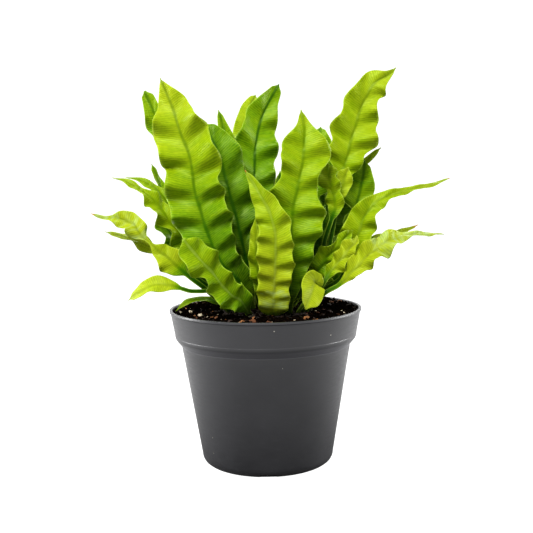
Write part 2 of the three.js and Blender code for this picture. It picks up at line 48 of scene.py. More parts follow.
RIM_RADIUS = 76
POT_HEIGHT = 124
WALL = 1.3
FLOOR = 2.4
LIP_HEIGHT = 2.2
LIP_OVERHANG = 0.8
COLLAR_RADIUS = 71.6  # at the collar's lower edge
COLLAR_BOTTOM = 101.2
STEP_RADIUS = 67
STEP_BOTTOM = 95.8
BAND_BOTTOM = 90.5  # the wall is a little thicker from here up to the collar
BAND_THICKER = 0.2
FOOT_RADIUS = 52.5
FOOT_ROUND = 8  # radius of the rounding between the wall and the flat underside
FOOT_STEPS = 9
FOOT_LINE = 0.2  # depth of the fine line round the foot
BASE_RADIUS = FOOT_RADIUS - FOOT_ROUND
DRAIN_COUNT = 3
DRAIN_WIDTH = 13
DRAIN_HEIGHT = 3.2
DRAIN_START = 45  # radius that the drain notches reach in to
DRAIN_DEPTH = 20
DRAIN_ROUND = 1
WALL_BEND = 1  # how much higher the bends lie inside than outside
FLOOR_ROUND = 1.5  # radius of the rounding inside at the floor
EDGE_ROUND = 0.35
EDGE_ANGLE = 24  # bends sharper than this, in degrees, are rounded
CREASE_ANGLE = 28  # bends sharper than this still show as a line
POT_SIDES = 160

# The collar's rounded lower edge and the bead above it: steps out and up from the edge.
COLLAR_BEAD = [(-1.0, -1.2), (-0.3, -0.2), (0.1, 0.7), (0.35, 1.6), (0.55, 2.6), (0.45, 3.0), (0.58, 3.6)]

# ---- soil and crown sizes

CLEARANCE = 0.3
SOIL_EDGE = 122.6
SOIL_MOUND = 0.6
SOIL_RELIEF = 0.65
SOIL_LUMPS = 0.9
SOIL_HEAP = 2.3  # height of the loose heap of peat against the wall at the back right
HEAP_PLACE = (45, 47)
HEAP_SPREAD = 14
SOIL_RINGS = 44
SOIL_SIDES = 144
CROWN_CENTRE = (2, -10)
CROWN_RADIUS = 35
CROWN_EDGE = 123.5
CROWN_DOME = 4
CROWN_SUNK = 6  # how far the crown reaches down into the soil
CROWN_LUMPS = 1.3
CROWN_RINGS = 24
CROWN_SIDES = 96
SOCKET_DEPTH = 6
RING_RADIUS = {"inner": 8.5, "middle": 17.5, "outer": 26.5}

# What lies loose: least and greatest breadth and thickness, as shares of the length.
CRUMB_FORM = ((0.6, 1), (0.5, 0.9))
CHIP_FORM = ((0.3, 0.7), (0.15, 0.35))
GRAIN_FORM = ((0.7, 1), (0.6, 0.9))
TILT = 0.35  # how unevenly it lies, in radians
JAG = 0.22  # share that its corners stand in or out by
FIBRE_COUNT = 150
FIBRE_KNOTS = 5
FIBRE_LENGTHS = (4, 13)

# Chips that stand out on the soil at the front left and at the right: place and size.
PALE_CHIPS = [(-49.6, -38.1, 3.4), (-58, -20, 3.0), (-66, -17, 2.4), (59, -21, 1.8), (21, -62, 2.0)]
ORANGE_CHIPS = [(-54, -32, 4.5), (-40, -44, 3.5), (-8, -60, 3.0), (30, -56, 4.0), (62, 30, 4.0)]

# ---- frond sizes

TIP_HALF = 0.8  # half the width that the outline runs out to, before the drawn-out point
POINT_LENGTH = 5
POINT_CUT = 0.8  # share of the width that the point takes off at its end
STALK_HALF = 1.9
STALK_DEPTH = 1.3  # half the thickness of the stalk
BLADE_DEPTH = 0.28  # half the thickness of the blade
MARGIN_DEPTH = 0.12
MARGIN = 2.0  # width over which the blade thins towards its margin
RIB_HEIGHT = 0.75  # how far the midrib stands out behind the blade at its foot
RIB_FRONT = 0.7  # the share of it that stands out on the upper side
RIB_HALF = 1.15
RIB_FADE = 0.75  # the share of its height that the midrib loses on the way to the tip
FLARE = 12  # length over which the stalk flares into the blade
GROWN = 0.25  # share of the length over which the ruffles reach their full height
STEPS_PER_WAVE = 4
SLOW_TURN = 0.43  # turns of the slow change of width for each ruffle
CROWDING = 0.35  # how much closer the ruffles are at the foot, and wider at the tip
PLEAT_SLANT = 2.0  # how far a pleat's phase lags at the margin, in radians
PLEAT_SKEW = 0.4  # how much steeper a pleat's underside is than its upper side
PLEAT_BOW = 0.85  # below 1, a pleat rises early on its way from the midrib
CRISP_SLOW = 0.16  # share of a pleat's height that comes and goes from pleat to pleat
CRISP_FINE = 0.2  # the same for the small waves at the margin
FOOT_DARKENING = 1.6  # a frond darkens ever faster towards its foot, with age and with painted shade
STALK_AGE = 0.5  # how much older the bare stalk looks than the blade
STALK_FADE = 14  # length over which it does so less and less
ROW_STEP = 1.3  # spacing of the mesh along a frond
HALF_COLUMNS = 13
COLUMN_SPREAD = 1.25  # above 1, the mesh is finer at the midrib than at the margin

# What a frond has if its row doesn't say otherwise, see below.
ORDINARY = dict(cup=(8, 12), broadest=0.5, tip=0.75, foot=0.15, bare=12, wave=23, scallop=0.08,
                uneven=0.06, outline=None)

# Each row gives a frond's name, ring, slot, half, face, rise, ruffle, phase, look and path, and then
# what is particular to it. It stands in its own place on a ring of the crown: slot is its angle in
# degrees, with 0 to the right, 90 to the back and 270 to the front. half is half the greatest
# width. face and rise are the azimuth and elevation that the blade's upper side looks to, from foot
# to tip. ruffle is the height of the waves at the margin and phase their start in quarter waves.
# look is the frond's age at the tip and at the foot, from 0, young and lime, to 1, old and dark,
# where the dark is partly painted shade, deepest at the feet and on the fronds inside the plant;
# how much darker its midrib is than the blade, or paler below 0; and the length in millimetres of
# its dry brown tip. path goes on from the slot along the midrib.
# Particular may be: cup, which folds both halves towards the upper side; broadest, the share of the
# length where the greatest width is; foot, the share of it that the blade starts with past the bare
# stalk, and bare, the length of that from the foot in its socket; tip, above 1 for a drawn-out
# point and below 1 for a blunt one; wave, the length of a wave; scallop, the share of the width
# that comes and goes with the waves, and uneven, the share that does so slowly, in turn on the two
# sides. A frond of a rarer shape has an outline in place of broadest, foot and tip: widths, as
# shares of half, from stalk to tip. node names the neighbour whose part from model.glb is hidden
# for a piece without a solid of its own.
FRONDS = [
    # the tall fronds that make the outline
    ("left_tall", "middle", 228, 21, (272, 262), (0, 6), 6, 0, (0.17, 1, 0.28, 0),
     ((-18, -37, 148), (-31, -43, 163), (-40, -46, 182), (-46, -47, 202), (-51, -47, 222), (-53, -46, 241),
      (-61, -43, 264), (-67, -39, 283), (-75, -35, 302)),
     dict(bare=14, wave=21, scallop=0.05, uneven=0.04,
          outline=(0.2, 0.5, 0.64, 0.78, 0.92, 1, 1.02, 1, 1, 0.95, 0.78, 0.4, 0.02))),
    ("left_back", "middle", 128, 9, (280, 276), (4, 10), 4, 1, (0.4, 0.6, 0.3, 0),
     ((-27, 8, 160), (-46, 17, 200), (-69, 25, 246), (-84, 30, 272), (-95, 33, 298)),
     dict(outline=(0.1, 0.15, 0.2, 0.25, 0.3, 0.4, 0.9, 1.05, 0.95, 0.5))),
    ("left_arched", "inner", 245, 18, (290, 292), (0, 20), 6, 2, (0.5, 1.1, 0.3, 0),
     ((-15, -22, 168), (-20, -24, 192), (-27, -26, 220), (-33, -27, 245), (-39, -28, 258), (-44, -30, 268)),
     dict(wave=24, outline=(0.15, 0.15, 0.2, 0.3, 0.7, 0.95, 1, 1, 0.95, 0.8, 0.3))),
    ("centre_left", "inner", 202, 10, (282, 276), (0, 4), 3.2, 3, (0.42, 0.9, 0.3, 0),
     ((-9, -12, 165), (-17, -9, 209), (-26, -3, 249), (-34, 1, 280)), {}),
    ("back_pale", "inner", 95, 16, (265, 275), (6, 30), 4.2, 1, (0.2, 0.5, 0.3, 0),
     ((-4, 9, 165), (-9, 21, 210), (-12, 38, 255), (-11, 52, 282), (-5, 66, 296)), {}),
    ("centre_back", "inner", 150, 17, (274, 290), (0, 12), 5, 2, (0.42, 0.96, 0.9, 0),
     ((-7, 2, 207), (-7, 8, 231), (-6, 12, 249), (-3, 17, 266), (4, 21, 284), (14, 24, 301)),
     dict(tip=0.62, wave=22, broadest=0.62)),
    ("right_front", "outer", 300, 22, (268, 280), (0, 8), 5.5, 0, (0.28, 0.66, 0.15, 0),
     ((20, -43, 162), (20, -47, 185), (22, -48, 206), (27, -46, 227), (30, -43, 244), (31, -39, 261),
      (29, -34, 277)),
     dict(bare=14, wave=20, scallop=0.07,
          outline=(0.2, 0.38, 0.52, 0.72, 0.95, 1.06, 1, 0.78, 0.62, 0.92, 0.7, 0.28, 0.05))),
    ("front_bright", "outer", 279, 13.5, (270, 262), (-6, -12), 3.2, 3, (0.3, -0.05, -0.12, 4),
     ((6, -48, 132), (7, -55, 152), (8, -60, 171), (8, -62, 187), (4, -60, 203), (-4, -56, 218),
      (-13, -51, 233)), dict(broadest=0.5, tip=1.1, foot=0.7, bare=4, wave=15, scallop=0.06)),
    ("front_narrow", "middle", 262, 6.4, (262, 255), (0, 4), 3.4, 1, (0.2, 0.6, 0.1, 0),
     ((-3, -44, 147), (-6, -51, 167), (-6, -53, 182), (-4, -48, 201)), dict(wave=15)),
    ("right_tall", "middle", 0, 18.5, (262, 275), (0, 14), 5.5, 2, (0.2, 0.56, 0.12, 0),
     ((46, -9, 178), (52, -7, 198), (58, -4, 214), (63, 0, 231), (69, 2, 253), (75, 5, 272), (81, 6, 287),
      (89, 7, 299), (99, 8, 305), (106, 9, 311)),
     dict(wave=19, scallop=0.12, uneven=0.08, bare=84,
          outline=(0.1, 0.12, 0.15, 0.36, 0.72, 0.94, 1, 0.9, 0.7, 0.68, 0.64, 0.26, 0.05))),
    ("right_back", "middle", 30, 14.5, (262, 266), (0, 8), 4, 0, (0.4, 0.7, 0.5, 0),
     ((61, 4, 168), (69, 7, 188), (74, 9, 205), (78, 10, 219), (80, 11, 230), (81, 12, 239)),
     dict(foot=0.3, tip=0.5, wave=18)),
    ("right_edge", "outer", 38, 7, (250, 255), (0, 10), 2.4, 2, (0.1, 0.5, 0.1, 0),
     ((61, 18, 167), (66, 22, 188), (70, 24, 213), (76, 22, 231), (85, 20, 240), (95, 18, 249)),
     dict(cup=(20, 30), wave=18)),

    # the fronds that arch out to the right
    ("right_mid", "outer", 358, 12.5, (262, 270), (10, 30, 40), 4.4, 1, (0.2, 0.45, -0.06, 4),
     ((44, -17, 138), (58, -24, 149), (66, -28, 166), (71, -31, 183), (76, -32, 196), (83, -32, 206),
      (95, -31, 212), (110, -28, 216), (127, -22, 219), (144, -12, 224)),
     dict(wave=19, cup=(20, 14), bare=52, outline=(0.1, 0.9, 1, 0.7, 0.34, 0.2, 0.15, 0.05))),
    ("right_low", "outer", 338, 9.5, (262, 270), (20, 50), 4.4, 3, (0, 0.3, -0.06, 0),
     ((45, -40, 140), (55, -48, 147), (62, -53, 155), (72, -54, 165), (82, -52, 174), (94, -48, 180),
      (112, -40, 183), (137, -28, 182)),
     dict(wave=17, uneven=0.15, bare=44, outline=(0.15, 0.3, 0.75, 1, 1, 0.75, 0.4, 0.25, 0.2, 0.05))),
    ("right_low_back", "outer", 18, 6.5, (265, 275), (30, 55), 2.4, 2, (0.12, 0.4, 0, 9),
     ((58, -18, 151), (72, -22, 165), (81, -22, 171), (92, -18, 178), (105, -12, 182), (121, -4, 188)),
     dict(tip=1.4, bare=40, broadest=0.6, wave=19)),
    ("front_right_curl", "outer", 319, 9.5, (300, 290), (165, 140, 70, 15, 5, 0), 1.2, 0, (0.1, 0.3, -0.1,
     0),
     ((29, -38, 132), (34, -47, 143), (36, -54, 150), (35, -60, 148), (33, -64, 142), (30, -67, 135),
      (29, -68, 132)),
     dict(cup=(10, 14), wave=20, scallop=0.03,
          outline=(0.1, 0.12, 0.15, 0.3, 0.6, 0.85, 1, 1, 0.95, 0.75, 0.4))),
    ("right_short", "middle", 288, 9.5, (262, 285), (0, 20), 5, 2, (0.32, 0.7, 0, 0),
     ((35, -32, 148), (44, -36, 162), (53, -40, 174), (61, -40, 182), (67, -37, 187)),
     dict(wave=12.5, scallop=0.24, uneven=0.25, bare=22)),
    ("right_ruffled", "middle", 310, 8.5, (268, 280), (0, 10), 4.8, 3, (0.7, 0.95, 0.1, 0),
     ((37, -25, 168), (44, -23, 187), (49, -22, 205), (51, -21, 218)),
     dict(wave=12, scallop=0.24, uneven=0.2)),
    ("right_inner", "middle", 332, 12.5, (250, 238), (0, 10), 4.8, 1, (0.8, 1, 0.1, 0),
     ((43, -14, 172), (52, -13, 190), (57, -12.5, 208), (58, -9, 231)),
     dict(wave=13, scallop=0.24, uneven=0.25, outline=(0.2, 0.4, 0.7, 1, 1, 0.8, 0.95, 0.6, 0.05))),

    # the fronds that arch out to the left
    ("left_curl", "middle", 200, 10, (275, 290), (10, 50), 5.4, 1, (0.24, 0.7, 0, 0),
     ((-49, -22, 169), (-59, -23, 179), (-68, -24, 190), (-76, -25, 201), (-83, -25, 211), (-93, -24, 219),
      (-103, -22, 225), (-115, -20, 229)), dict(tip=1.3, bare=30, wave=16, uneven=0.2, scallop=0.2)),
    ("left_curl_back", "middle", 165, 9.5, (290, 300), (10, 40), 3.8, 2, (0.3, 0.8, 0, 0),
     ((-59, -5, 182), (-68, -5, 194), (-74, -4, 206), (-82, -3, 217), (-93, -1, 225), (-108, 1, 229)),
     dict(tip=1.2, bare=30, wave=18)),
    ("left_far", "outer", 201, 10.5, (275, 270), (15, 20, 30), 4.4, 0, (0, 0.45, 0.1, 5),
     ((-45, -30, 143), (-55, -35, 152), (-64, -37, 160), (-73, -38, 169), (-82, -37, 176), (-86, -36, 180),
      (-93, -34, 186), (-99, -31, 194), (-110, -28, 198), (-123, -25, 199), (-132, -22, 202)),
     dict(wave=16, scallop=0.22, bare=54,
          outline=(0.15, 0.8, 1, 0.75, 0.18, 0.22, 0.7, 0.85, 0.55, 0.28, 0.15, 0.05))),
    ("left_far_low", "outer", 162, 5.5, (270, 275), (30, 50), 3.6, 3, (0.06, 0.4, 0, 0),
     ((-44, -14, 143), (-68, -16, 160), (-90, -14, 175), (-105, -11, 182), (-124, -8, 187)),
     dict(bare=40, outline=(0.15, 0.2, 0.2, 0.25, 0.6, 1, 0.9, 0.5, 0.05))),
    ("left_low", "outer", 219, 7.5, (270, 265), (30, 50), 1.6, 0, (0.08, 0.4, 0, 0),
     ((-28, -30, 134), (-40, -35, 142), (-49, -41, 143), (-56, -46, 144), (-61, -49, 146), (-69, -51, 149),
      (-82, -52, 149.5), (-92, -51, 145), (-102, -47, 138)),
     dict(bare=58, wave=20, outline=(0.1, 0.5, 0.9, 1, 0.95, 0.6, 0.05))),
    ("soil_left", "outer", 181, 3.2, (265, 260), (40, 60), 0.8, 0, (0.3, 0.8, 0.1, 0),
     ((-34, -16, 130), (-48, -19, 134), (-59, -22, 133), (-69, -25, 126)), {}),
    ("front_left_low", "outer", 242, 12.5, (285, 292), (-4, 16), 4.2, 2, (0.36, 0.56, -0.2, 0),
     ((-18, -49, 136), (-26, -56, 143), (-33, -61, 152), (-40, -65, 162), (-46, -68, 169), (-52, -70, 177),
      (-58, -71, 185)),
     dict(bare=12, wave=16, scallop=0.12, uneven=0.1,
          outline=(0.2, 0.65, 0.8, 0.85, 1, 0.85, 0.75, 0.95, 1, 0.85, 0.4))),
    ("left_dark", "outer", 144, 12, (316, 322), (0, 10), 4.6, 1, (0.42, 0.9, 0.3, 0),
     ((-66, 10, 170), (-76, 14, 185), (-81, 17, 201), (-82, 20, 215), (-86, 22, 229), (-90, 24, 239)),
     dict(wave=18, uneven=0.15, tip=0.9)),

    # the fronds inside the plant
    ("centre_inner", "inner", 290, 12, (262, 240), (0, 4), 3.6, 0, (0.8, 1, 0.3, 0),
     ((12, -16, 171), (15, -13, 206), (13, -11, 232)), {}),
    ("back_right", "inner", 0, 14, (260, 245), (0, 35), 5, 2, (0.4, 0.9, 0.2, 0),
     ((35, 6, 197), (41, 12, 213), (44, 22, 232), (46, 31, 250), (48, 38, 267)),
     dict(tip=0.5, broadest=0.7, wave=18)),
]

# The fronds behind the plant follow one rule: each leans out from its slot along its heading, from
# the first lean to the second, and looks up and back to the crown. A row gives name, ring, slot,
# half, heading, length, lean and look.
BACK_FRONDS = [
    ("back_1", "outer", 58, 13, 49, 130, (33, 78), (0.3, 0.7, 0.3, 0)),
    ("back_2", "outer", 76, 15, 70, 160, (16, 62), (0.25, 0.7, 0.4, 0)),
    ("back_3", "outer", 93, 14, 96, 150, (28, 78), (0.15, 0.6, 0.3, 4)),
    ("back_4", "outer", 110, 14, 118, 158, (16, 62), (0.35, 0.7, 0.4, 0)),
    ("back_5", "middle", 62, 15, 63, 158, (20, 47), (0.4, 0.75, 0.3, 0)),
    ("back_6", "middle", 95, 14, 92, 150, (10, 34), (0.5, 0.8, 0.4, 0)),
    ("back_7", "outer", 128, 14, 142, 140, (26, 74), (0.3, 0.7, 0.3, 5)),
]
BACK_POINTS = 5
BACK_RUFFLE = 4.2
BACK_WAVE = 27

# Small crumpled leaf tips, which have no solids of their own.
CRUMPLED = [
    ("crumpled_tip", "middle", 318, 6, (262, 270), (0, 20), 2.2, 0, (0.16, 0.6, 0, 0),
     ((47, -30, 168), (51, -29, 182), (54, -28, 198), (57, -26, 212), (61, -25, 223), (65, -23, 234)),
     dict(node="right_inner", wave=12, scallop=0.12, uneven=0.2, bare=92,
          outline=(0.1, 0.3, 0.8, 1, 1, 0.8, 0.4))),
    ("crumpled_lobe", "middle", 300, 7, (250, 262), (0, 10), 3.6, 1, (0.26, 0.7, 0, 0),
     ((42, -33, 163), (46, -33, 180), (51, -33, 195), (54, -33, 205), (52, -32, 216), (50, -31, 226),
      (49, -30, 237)),
     dict(node="right_ruffled", wave=10, scallop=0.24, uneven=0.2, bare=84,
          outline=(0.1, 0.5, 0.9, 1, 0.75, 1, 1, 0.5))),
    ("crumpled_low", "outer", 328, 6.5, (262, 275), (10, 40), 3.4, 2, (0.1, 0.5, -0.1, 0),
     ((43, -44, 147), (49, -46, 157), (55, -47, 164), (61, -47, 171), (67, -45, 178), (69, -42, 183)),
     dict(node="right_short", wave=10, scallop=0.24, uneven=0.2, bare=42,
          outline=(0.1, 0.6, 1, 0.9, 1, 0.8, 0.4))),
]


# ---- materials

def linear(colour):
    """An sRGB hex colour as linear RGBA."""
    values = [int(colour[i:i + 2], 16) / 255 for i in (1, 3, 5)]
    bent = [v / 12.92 if v <= 0.04045 else ((v + 0.055) / 1.055) ** 2.4 for v in values]
    return (*bent, 1.0)


def add_node(tree, kind, *inputs, stops=(), **named):
    """Adds one shader node. Its inputs come in order or by name, with _ for a space, and its
    settings by name, all in small letters. An input is a value, a hex colour, an output, or a
    node, which means the first output that it has in use. A map takes its value, the least and
    greatest that this may be, and what they become, which are all 0 and 1 if left out."""
    node = tree.nodes.new("ShaderNode" + kind)
    for name, value in named.items():
        if name.islower():
            setattr(node, name, value)
    sockets = [s for s in node.inputs if s.enabled]
    by_name = [(next(s for s in sockets if s.name == name.replace("_", " ")), value)
               for name, value in named.items() if not name.islower()]
    for socket, value in [*zip(sockets, inputs), *by_name]:
        if isinstance(value, bpy.types.Node):
            value = next(s for s in value.outputs if s.enabled)
        if isinstance(value, bpy.types.NodeSocket):
            tree.links.new(value, socket)
        else:
            socket.default_value = linear(value) if isinstance(value, str) else value
    for i, (place, colour) in enumerate(stops):
        if i >= len(node.color_ramp.elements):
            node.color_ramp.elements.new(place)
        node.color_ramp.elements[i].position = place
        node.color_ramp.elements[i].color = linear(colour)
    return node


def new_material(name):
    """An empty material, what adds a node to it, and the place on the piece that it colours."""
    material = bpy.data.materials.new(name)
    material.use_nodes = True
    material.node_tree.nodes.clear()
    add = functools.partial(add_node, material.node_tree)
    return material, add, add("TexCoord").outputs["Object"]


def finish_material(add, colour, relief, strength, depth, **shader):
    """The last steps of an opaque material: its relief, of a depth in millimetres, and shader."""
    bump = add("Bump", Strength=strength, Distance=depth * MM, Height=relief)
    add("OutputMaterial", add("BsdfPrincipled", colour, Normal=bump, **shader))


def living_fern_blade():
    """Living frond tissue under a thin waxy cuticle: soft gloss, side veins that run out from a
    rounded midrib, a thin pale rim of painted highlight, greens that deepen with age and with
    painted shade towards the feet and inside the plant, and light that comes through the blade."""
    vein_spacing = 1.4  # the real ones lie about 1 mm apart, which is too fine to show
    vein_rise = 0.3  # how far a side vein climbs along the midrib for each mm outwards
    material, add, coords = new_material("living_fern_blade")
    blade = add("Attribute", attribute_name="blade").outputs["Vector"]
    tone = add("Attribute", attribute_name="tone").outputs["Vector"]
    under = add("Attribute", attribute_name="underside").outputs["Fac"]
    aside, along, to_margin = add("SeparateXYZ", blade).outputs
    age_and_shade, rib_shade, burn = add("SeparateXYZ", tone).outputs
    across = add("Math", aside, operation="ABSOLUTE")

    # side veins: a sine over the way along the midrib, less their climb, that wanders a little
    wander = add("TexNoise", Vector=coords, Scale=1 / (7 * MM), Detail=2)
    climb = add("Math", across, vein_rise, operation="MULTIPLY")
    line = add("Math", along, climb, operation="SUBTRACT")
    line = add("Math", wander, 1.6, line, operation="MULTIPLY_ADD")
    turn = add("Math", line, 2 * math.pi / vein_spacing, operation="MULTIPLY")
    wave = add("Math", turn, operation="SINE")
    wave = add("MapRange", wave, -1)

    # no two veins are alike: streaks drawn out along them, fine ones and broad ones
    place = add("CombineXYZ", line, climb, rib_shade)
    fine = add("TexNoise", Vector=place, Scale=1.1, Detail=3)
    fine = add("MapRange", fine, 0.3, 0.7)
    broad = add("TexNoise", Vector=place, Scale=0.22, Detail=2)
    broad = add("MapRange", broad, 0.3, 0.7)
    vein = add("Mix", 0.55, fine, wave, data_type="FLOAT")
    clear = add("MapRange", across, 0.6, 2)
    vein = add("Math", vein, clear, operation="MULTIPLY")

    # age, with its painted shade, sets the green, with slow clouds and the broad streaks in it:
    # the darker greens are partly painted shade at the feet and inside the plant
    cloud = add("TexNoise", Vector=coords, Scale=1 / (26 * MM), Detail=3, Roughness=0.6)
    cloud = add("MapRange", cloud, 0, 1, -0.14, 0.14)
    age_and_shade = add("Math", age_and_shade, cloud, operation="ADD")
    age_and_shade = add("Math", broad, 0.1, age_and_shade, operation="MULTIPLY_ADD", use_clamp=True)
    green = add("ValToRGB", age_and_shade, stops=[
        (0, "#a7bd80"), (0.12, "#99a41d"), (0.36, "#7a9300"), (0.56, "#4b7800"), (0.78, "#225800"),
        (1, "#0c3800")])
    lighter = add("Mix", 0.2, green, "#c4d62c", data_type="RGBA")
    darker = add("Mix", 0.28, green, "#123400", data_type="RGBA")
    colour = add("Mix", vein, darker, lighter, data_type="RGBA")

    pale = add("Math", under, 0.4, operation="MULTIPLY")
    # painted highlight: a thin pale rim along the margin, strongest on older, darker fronds
    rim = add("MapRange", to_margin, 0.15, 0.7, 1, 0)
    strength = add("MapRange", age_and_shade, 0, 1, 0.12, 0.65)
    rim = add("Math", rim, strength, operation="MULTIPLY")
    on_rib = add("MapRange", across, 0.45, 1.35, 1, 0)
    dark_rib = add("Math", rib_shade, on_rib, operation="MULTIPLY", use_clamp=True)
    pale_rib = add("Math", rib_shade, -1, operation="MULTIPLY")
    pale_rib = add("Math", pale_rib, on_rib, operation="MULTIPLY", use_clamp=True)
    stalk = add("MapRange", along, 6, 18, 0.75, 0)
    ragged = add("MapRange", wander, 0, 1, -0.4, 0.4)
    dry = add("Math", burn, ragged, operation="ADD")
    dry = add("MapRange", dry, 0.35, 0.75)
    for factor, tint in [
            (pale, "#93ad3c"),  # the underside is paler and duller
            (rim, "#a4ba4a"),  # a painted highlight: a thin pale rim on the margin, which shows most on dark fronds
            (dark_rib, "#2c5002"),  # the midrib is darker than the blade on most fronds
            (pale_rib, "#c2d46a"),  # and paler on young ones
            (stalk, "#1e2a0c"),  # the stalk browns where it leaves the crown
            (dry, "#a46a22")]:  # some tips are dry
        colour = add("Mix", factor, colour, tint, data_type="RGBA")

    # relief: the veins, the quilting between them and the fine grain of the cuticle
    grain = add("TexNoise", Vector=coords, Scale=1 / (0.9 * MM), Detail=2)
    height = add("Math", grain, 0.3, vein, operation="MULTIPLY_ADD")
    height = add("Math", broad, 2, height, operation="MULTIPLY_ADD")
    bump = add("Bump", Strength=0.6, Distance=0.2 * MM, Height=height)
    gloss = add("MapRange", grain, 0.3, 0.7, 0.4, 0.54)
    gloss = add("Math", age_and_shade, -0.16, gloss, operation="MULTIPLY_ADD")
    surface = add("BsdfPrincipled", colour, Roughness=gloss, IOR=1.42, Specular_IOR_Level=0.32,
                  Specular_Tint="#e4ffa0", Normal=bump)
    through = add("Mix", 0.3, colour, "#a4cc00", data_type="RGBA")
    through = add("BsdfTranslucent", through, Normal=bump)
    add("OutputMaterial", add("MixShader", 0.27, surface, through))
    return material


def injection_moulded_polypropylene():
    """Dark grey polypropylene from a satin mould: a soft sheen, a fine grain, faint rubbed marks
    from stacking, a few pale specks of dried water and dust, and a paler band of painted light on
    the step under the collar."""
    material, add, coords = new_material("injection_moulded_polypropylene")
    cloud = add("TexNoise", Vector=coords, Scale=1 / (30 * MM), Detail=4)
    colour = add("ValToRGB", cloud, stops=[(0.3, "#18181b"), (0.7, "#202023")])
    # rubbed marks are drawn out round the pot
    flat = add("Mapping", Vector=coords, Scale=(1, 1, 6))
    rub = add("TexNoise", Vector=flat, Scale=1 / (10 * MM), Detail=8, Roughness=0.7)
    rubs_and_step_light = add("MapRange", rub, 0.58, 0.8, 0, 0.2)
    # painted light: the step under the collar is painted paler all round, in place of light thrown up from
    # the table, so it stands out only softly
    height = add("SeparateXYZ", coords).outputs["Z"]
    step = add("MapRange", height, (STEP_BOTTOM - 1) * MM, COLLAR_BOTTOM * MM)
    painted_step_light = add("ValToRGB", step, stops=[
        (0, "#000000"), (0.2, "#dddddd"), (0.75, "#dddddd"), (1, "#000000")])
    rubs_and_step_light = add("Math", rubs_and_step_light, painted_step_light, operation="MAXIMUM")
    colour = add("Mix", rubs_and_step_light, colour, "#48484c", data_type="RGBA")
    # specks: about one cell of 6 mm in eight holds one, up to 1 mm across
    cells = add("TexVoronoi", Vector=coords, Scale=1 / (6 * MM))
    kind = add("SeparateColor", cells.outputs["Color"])
    size = add("MapRange", kind, 0.87, 1, 0, 0.09)
    speck = add("Math", cells, size, operation="LESS_THAN")
    colour = add("Mix", speck, colour, "#9a968c", data_type="RGBA")
    grain = add("TexNoise", Vector=coords, Scale=1 / (0.7 * MM), Detail=2)
    satin = add("MapRange", rub, 0.3, 0.75, 0.34, 0.5)
    finish_material(add, colour, grain, 0.2, 0.05, Roughness=satin, IOR=1.49, Specular_IOR_Level=0.75)
    return material


def moist_peat():
    """Moist peat: near black and matt, with crumbs that have dried to brown."""
    material, add, coords = new_material("moist_peat")
    crumb = add("TexNoise", Vector=coords, Scale=1 / (2.4 * MM), Detail=6, Roughness=0.75)
    colour = add("ValToRGB", crumb, stops=[
        (0.35, "#050302"), (0.55, "#0e0906"), (0.68, "#22160e"), (0.82, "#46301f")])
    finish_material(add, colour, crumb, 0.9, 0.7, Roughness=0.9, Specular_IOR_Level=0.0)
    return material


def composted_bark():
    """Composted bark chips: matt, reddish brown, each its own shade, with a stringy grain."""
    material, add, coords = new_material("composted_bark")
    shade = add("Attribute", attribute_name="shade").outputs["Fac"]
    colour = add("ValToRGB", shade, stops=[
        (0, "#120b07"), (0.5, "#2c1a10"), (0.8, "#54301a"), (1, "#96683c")])
    drawn = add("Mapping", Vector=coords, Scale=(1, 3, 1))
    string = add("TexNoise", Vector=drawn, Scale=1 / (1.6 * MM), Detail=5)
    dark = add("MapRange", string, 0.4, 0.65, 0, 0.6)
    colour = add("Mix", dark, colour, "#180e09", data_type="RGBA")
    finish_material(add, colour, string, 0.8, 0.3, Roughness=0.8, Specular_IOR_Level=0.3)
    return material


def expanded_perlite():
    """Expanded perlite: white volcanic glass foam, matt, with brown peat in its pores."""
    material, add, coords = new_material("expanded_perlite")
    pore = add("TexNoise", Vector=coords, Scale=1 / (0.9 * MM), Detail=3)
    colour = add("ValToRGB", pore, stops=[(0.3, "#5c4a36"), (0.45, "#a8987e"), (0.7, "#d8cdb8")])
    finish_material(add, colour, pore, 0.7, 0.3, Roughness=0.75)
    return material


def fibrous_rhizome():
    """The fern's short rhizome: old stalk feet and papery brown scales, matt and stringy, with
    green where living stalks pass."""
    material, add, coords = new_material("fibrous_rhizome")
    drawn = add("Mapping", Vector=coords, Scale=(1, 1, 0.3))
    string = add("TexNoise", Vector=drawn, Scale=1 / (1.5 * MM), Detail=5, Roughness=0.7)
    colour = add("ValToRGB", string, stops=[
        (0.3, "#060403"), (0.5, "#150d08"), (0.66, "#2a1c10"), (0.8, "#4a3c1c")])
    moss = add("TexNoise", Vector=coords, Scale=1 / (9 * MM), Detail=3)
    moss = add("MapRange", moss, 0.52, 0.66, 0, 0.5)
    colour = add("Mix", moss, colour, "#36430f", data_type="RGBA")
    finish_material(add, colour, string, 1.0, 0.6, Roughness=0.8, Specular_IOR_Level=0.3)
    return material


def opal_acrylic_table():
    """An opal acrylic table top, lit from below: white to look at, so that shadows on it stay
    faint, and a soft light on what stands on it. Near the object its glow is cut down, as a painted
    shadow of the object that shows in reflections and in the light that the table gives."""
    white, as_light = 0.93, 0.35
    near, far = 0.07, 0.27  # metres from the middle between which the glow comes up out of the painted shadow of the object
    material, add, coords = new_material("opal_acrylic_table")
    path = add("LightPath")
    away = add("VectorMath", coords, operation="LENGTH").outputs["Value"]
    unshaded = add("MapRange", away, near, far, 0.02)
    glossy, camera = path.outputs["Is Glossy Ray"], path.outputs["Is Camera Ray"]
    light = add("Mix", glossy, as_light, white, data_type="FLOAT")
    light = add("Math", light, unshaded, operation="MULTIPLY")
    glow = add("Mix", camera, light, white, data_type="FLOAT")
    surface = add("BsdfPrincipled", "#606060", Roughness=0.9, Specular_IOR_Level=0.1,
                  Emission_Color="#ffffff", Emission_Strength=glow)
    add("OutputMaterial", surface)
    return material


# ---- making and finishing meshes

